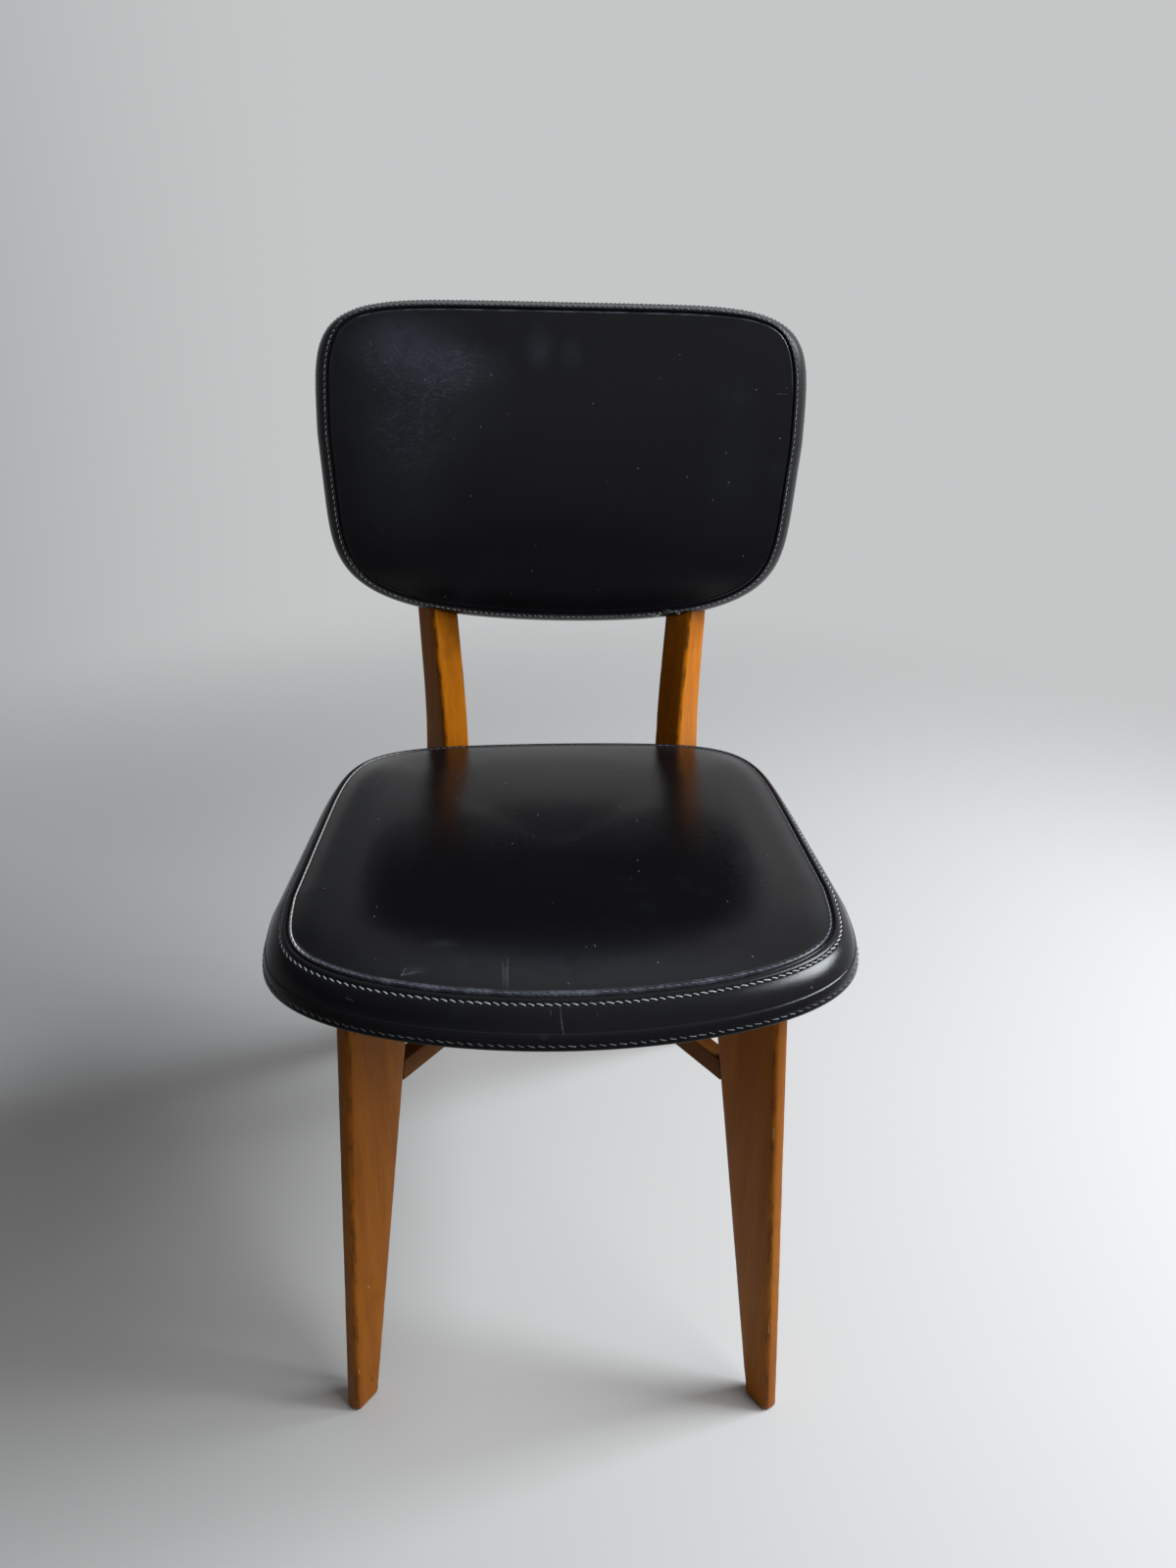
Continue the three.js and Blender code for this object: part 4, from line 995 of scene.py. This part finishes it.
# A sewn line is a closed loop of points that carries the cover's outward direction. Its place is a
# distance beyond the front seam, or else short of the band's end, and a lift off the cover.
def sewnLine(name, look):
    profile, outRing = {"seat": (seatLines, seatOutRing), "back": (backLines, backOutRing)}[look["pad"]]
    places, normals = alongProfile(profile, look["distance"], look["lift"], look["fromSeam"])
    points = outRing(places[:, 0], places[:, 1])
    ahead = outRing(places[:, 0] + normals[:, 0], places[:, 1] + normals[:, 1])
    count = len(points)
    mesh = bpy.data.meshes.new(name)
    mesh.from_pydata([tuple(p) for p in points], [(k, (k + 1) % count) for k in range(count)], [])
    setAttribute(mesh, "outward", (ahead - points) / mm)
    source = addPiece(name + "Line", mesh)
    modifier = source.modifiers.new("stitches", "NODES")
    modifier.node_group = sewing
    sockets = {item.name: item.identifier for item in sewing.interface.items_tree if item.in_out == "INPUT"}
    for key, value in zip(("Pitch", "Length", "Thread Radius", "Arch"), look["sizes"]):
        modifier[sockets[key]] = value * mm
    for key, value in zip(("Slant", "Unevenness", "Seed", "Thread"), look["manner"]):
        modifier[sockets[key]] = value
    return plainPiece(name, source)


# For each line: its place, its sizes (pitch, length, thread radius and arch, in millimetres), and its
# manner (slant in radians, unevenness, seed and thread)
stitches = {
    "seatTopStitches": {
        "pad": "seat", "distance": seat["stitchLine"], "lift": 0.15, "fromSeam": True,
        "sizes": (5.9, 4.5, 0.52, 0.5), "manner": (-0.34, 0.10, 4, paleThread)},
    "seatEdgeStitches": {
        "pad": "seat", "distance": seat["ridgeLine"], "lift": -0.12, "fromSeam": True,
        "sizes": (6.1, 4.4, 0.34, 0.1), "manner": (-0.16, 0.12, 7, edgeThread)},
    "seatLowStitches": {
        "pad": "seat", "distance": seat["lowerStitchLine"], "lift": 0.1, "fromSeam": False,
        "sizes": (6.8, 4.4, 0.32, 0.3), "manner": (-0.28, 0.16, 9, lowThread)},
    "backFrontStitches": {
        "pad": "back", "distance": back["stitchLine"], "lift": 0.22, "fromSeam": True,
        "sizes": (5.0, 3.5, 0.40, 0.35), "manner": (-0.22, 0.12, 6, dimThread)},
    "backRearStitches": {
        "pad": "back", "distance": 0.2, "lift": -0.35, "fromSeam": False,
        "sizes": (3.8, 3.4, 0.75, 0.4), "manner": (1.0, 0.10, 12, blackThread)},
}
threads = [sewnLine(name, look) for name, look in stitches.items()]
print("stitches made")

# The seam under the back pad is torn on the right: paths of its thread ends, in millimetres
torn = {
    "tornThreads": {"radius": 0.32, "thread": paleThread, "paths": [
        [(82.4, 150.2, 576.9), (83.4, 148.3, 575.6), (86.0, 147.4, 574.6), (88.9, 147.8, 575.2),
         (89.4, 149.0, 576.8), (88.6, 150.6, 577.6)],
        [(105.0, 151.4, 578.9), (105.9, 149.6, 577.0), (107.6, 149.0, 576.5), (108.6, 149.7, 577.9),
         (107.9, 151.6, 579.2)]]},
    "tornEdge": {"radius": 0.55, "thread": blackThread, "paths": [
        [(92.6, 150.8, 580.6), (94.2, 149.0, 579.6), (95.8, 148.4, 578.0), (96.4, 149.2, 576.6)],
        [(94.8, 150.6, 581.6), (96.4, 148.6, 580.4), (98.6, 148.0, 579.0), (99.4, 148.8, 577.4)],
        [(97.2, 150.2, 581.0), (99.2, 148.4, 579.8), (100.8, 148.6, 578.8), (101.6, 150.0, 578.6)]]},
}


def looseThread(name, look):
    curve = bpy.data.curves.new(name, "CURVE")
    curve.dimensions = "3D"
    curve.bevel_depth, curve.bevel_resolution, curve.use_fill_caps = look["radius"] * mm, 1, True
    for path in look["paths"]:
        spline = curve.splines.new("NURBS")
        spline.points.add(len(path) - 1)
        spline.points.foreach_set("co", [value for spot in path for value in (*(v * mm for v in spot), 1.0)])
        spline.use_endpoint_u, spline.order_u, spline.resolution_u = True, 3, 4
    piece = plainPiece(name, addPiece(name + "Path", curve))
    outwardFaces(piece)
    setMaterial(piece, look["thread"])
    return piece


threads += [looseThread(name, look) for name, look in torn.items()]
print("torn seam made")

# What rides on the chair, and what each piece stands for
for piece in [seatPadding, backPadding, *legPieces.values(), *railPieces.values(), *threads]:
    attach(piece, "root")
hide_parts("seat_top_panel", "seat_band", "seat_welt", "seat_foam")
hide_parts("back_front_panel", "back_rear_panel", "back_band", "back_welt", "back_front_foam",
            "back_rear_foam")
for node, piece in {**legPieces, **railPieces}.items():
    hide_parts(node)

# A floor that fades into the world. What is seen of the world and the light that it gives are two
# things: the seen colours are dimmed low in front, on the left and high on the left.
studio = {
    "floor": (0.56, 0.555, 0.545, 1), "halfSize": 30, "fadeFrom": 0.9, "fadeTo": 1.9,
    "seenBehind": (0.56, 0.565, 0.57, 1), "seenFront": (0.315, 0.325, 0.345, 1),
    "seenLow": (0.32, 0.32, 0.33, 1), "seenLeft": (0.42, 0.425, 0.44, 1), "seenHigh": (0.42, 0.43, 0.45, 1),
    "dimLight": (0.04, 0.041, 0.044, 1),
    "glowBehind": (0.38, 0.39, 0.40, 1), "glowBeside": (0.10, 0.105, 0.11, 1),
}


def makeStudio():
    size = studio["halfSize"]
    corners = [(-size, -size, 0), (size, -size, 0), (size, size, 0), (-size, size, 0)]
    floor = makeMesh("studioFloor", corners, [(0, 1, 2, 3)])
    material, tree, shader = newMaterial("paleFloor")
    shader.inputs["Base Color"].default_value = studio["floor"]
    shader.inputs["Roughness"].default_value = 0.85
    shader.inputs["Specular IOR Level"].default_value = 0.2
    fade = ramp(tree, lengthNode(tree, objectPlace(tree)), studio["fadeFrom"], studio["fadeTo"])
    far = mathNode(tree, "MULTIPLY", fade, seenRays(tree))
    clear = tree.nodes.new("ShaderNodeBsdfTransparent")
    mix = addNode(tree, "ShaderNodeMixShader", {0: far, 1: shader.outputs[0], 2: clear.outputs[0]})
    tree.links.new(mix.outputs[0], tree.nodes["Material Output"].inputs[0])
    setMaterial(floor, material)
    world = bpy.data.worlds.new("studioWorld")
    scene.world = world
    world.use_nodes = True
    tree = world.node_tree
    tree.nodes.clear()
    direction = addNode(tree, "ShaderNodeTexCoord").outputs["Generated"]
    x, y, z = addNode(tree, "ShaderNodeSeparateXYZ", {0: direction}).outputs
    behind = mathNode(tree, "MULTIPLY", ramp(tree, y, 0.05, 0.55), ramp(tree, z, 0.98, 0.6))
    light = studio["dimLight"]
    for part, glow in ((behind, "glowBehind"), (ramp(tree, x, 0.25, 0.9), "glowBeside")):
        light = mixColour(tree, 1.0, light, mixColour(tree, part, (0, 0, 0, 1), studio[glow]), "ADD")
    low = mathNode(tree, "MULTIPLY", ramp(tree, y, 0.2, -0.6), ramp(tree, z, 0.14, -0.16))
    high = mathNode(tree, "MULTIPLY", ramp(tree, x, 0.0, -0.3), ramp(tree, z, 0.2, 0.4))
    shown = mixColour(tree, ramp(tree, y, -0.8, 0.6), studio["seenFront"], studio["seenBehind"])
    for part, tint in ((low, "seenLow"), (ramp(tree, x, -0.15, -0.8), "seenLeft"), (high, "seenHigh")):
        shown = mixColour(tree, part, shown, mixColour(tree, 1.0, shown, studio[tint], "MULTIPLY"))
    lit = addNode(tree, "ShaderNodeBackground", {"Color": light, "Strength": 1.0})
    seen = addNode(tree, "ShaderNodeBackground", {"Color": shown, "Strength": 1.0})
    mix = addNode(tree, "ShaderNodeMixShader", {0: seenRays(tree), 1: lit.outputs[0], 2: seen.outputs[0]})
    output = tree.nodes.new("ShaderNodeOutputWorld")
    tree.links.new(mix.outputs[0], output.inputs[0])


# One for what the camera sees, also in a reflection or through glass
def seenRays(tree):
    path = tree.nodes.new("ShaderNodeLightPath")
    seen = mathNode(tree, "MAXIMUM", path.outputs["Is Camera Ray"], path.outputs["Is Glossy Ray"])
    return mathNode(tree, "MAXIMUM", seen, path.outputs["Is Transmission Ray"])


def addLamp(name, place, target, width, height, power, colour, mirrored):
    lamp = bpy.data.lights.new(name, "AREA")
    lamp.shape, lamp.size, lamp.size_y = "RECTANGLE", width, height
    lamp.energy, lamp.color = power, colour
    holder = addPiece(name, lamp)
    holder.location = place
    holder.rotation_euler = (Vector(target) - Vector(place)).to_track_quat("-Z", "Y").to_euler()
    holder.visible_camera, holder.visible_glossy = False, mirrored


makeStudio()
addLamp("windowLamp", (1.85, -0.88, 1.82), (0, 0, 0.5), 2.2, 1.4, 42, (0.98, 0.99, 1.0), False)
addLamp("skyLamp", (1.78, 0.02, 1.84), (0, 0, 0.45), 1.0, 0.95, 68, (0.90, 0.95, 1.0), True)

# The camera: millimetres in front of the seat and above the floor, its tilt in degrees, the rest in pixels
view = {"distance": 606, "height": 947.5, "tilt": 28, "focal": 1202, "width": 1200, "longSide": 1600,
        "centre": 573.3, "sensor": 36}
camera = bpy.data.cameras.new("photoCamera")
camera.sensor_width = view["sensor"]
camera.lens = view["sensor"] * view["focal"] / view["longSide"]
camera.shift_x = (view["width"] / 2 - view["centre"]) / view["longSide"]
camera.clip_start = 0.05
holder = addPiece("photoCamera", camera)
holder.location = (0, (chair["frontEdge"] - view["distance"]) * mm, view["height"] * mm)
holder.rotation_euler = (math.radians(90 - view["tilt"]), 0, 0)
scene.camera = holder
scene.view_settings.view_transform = "Standard"
print("studio made")
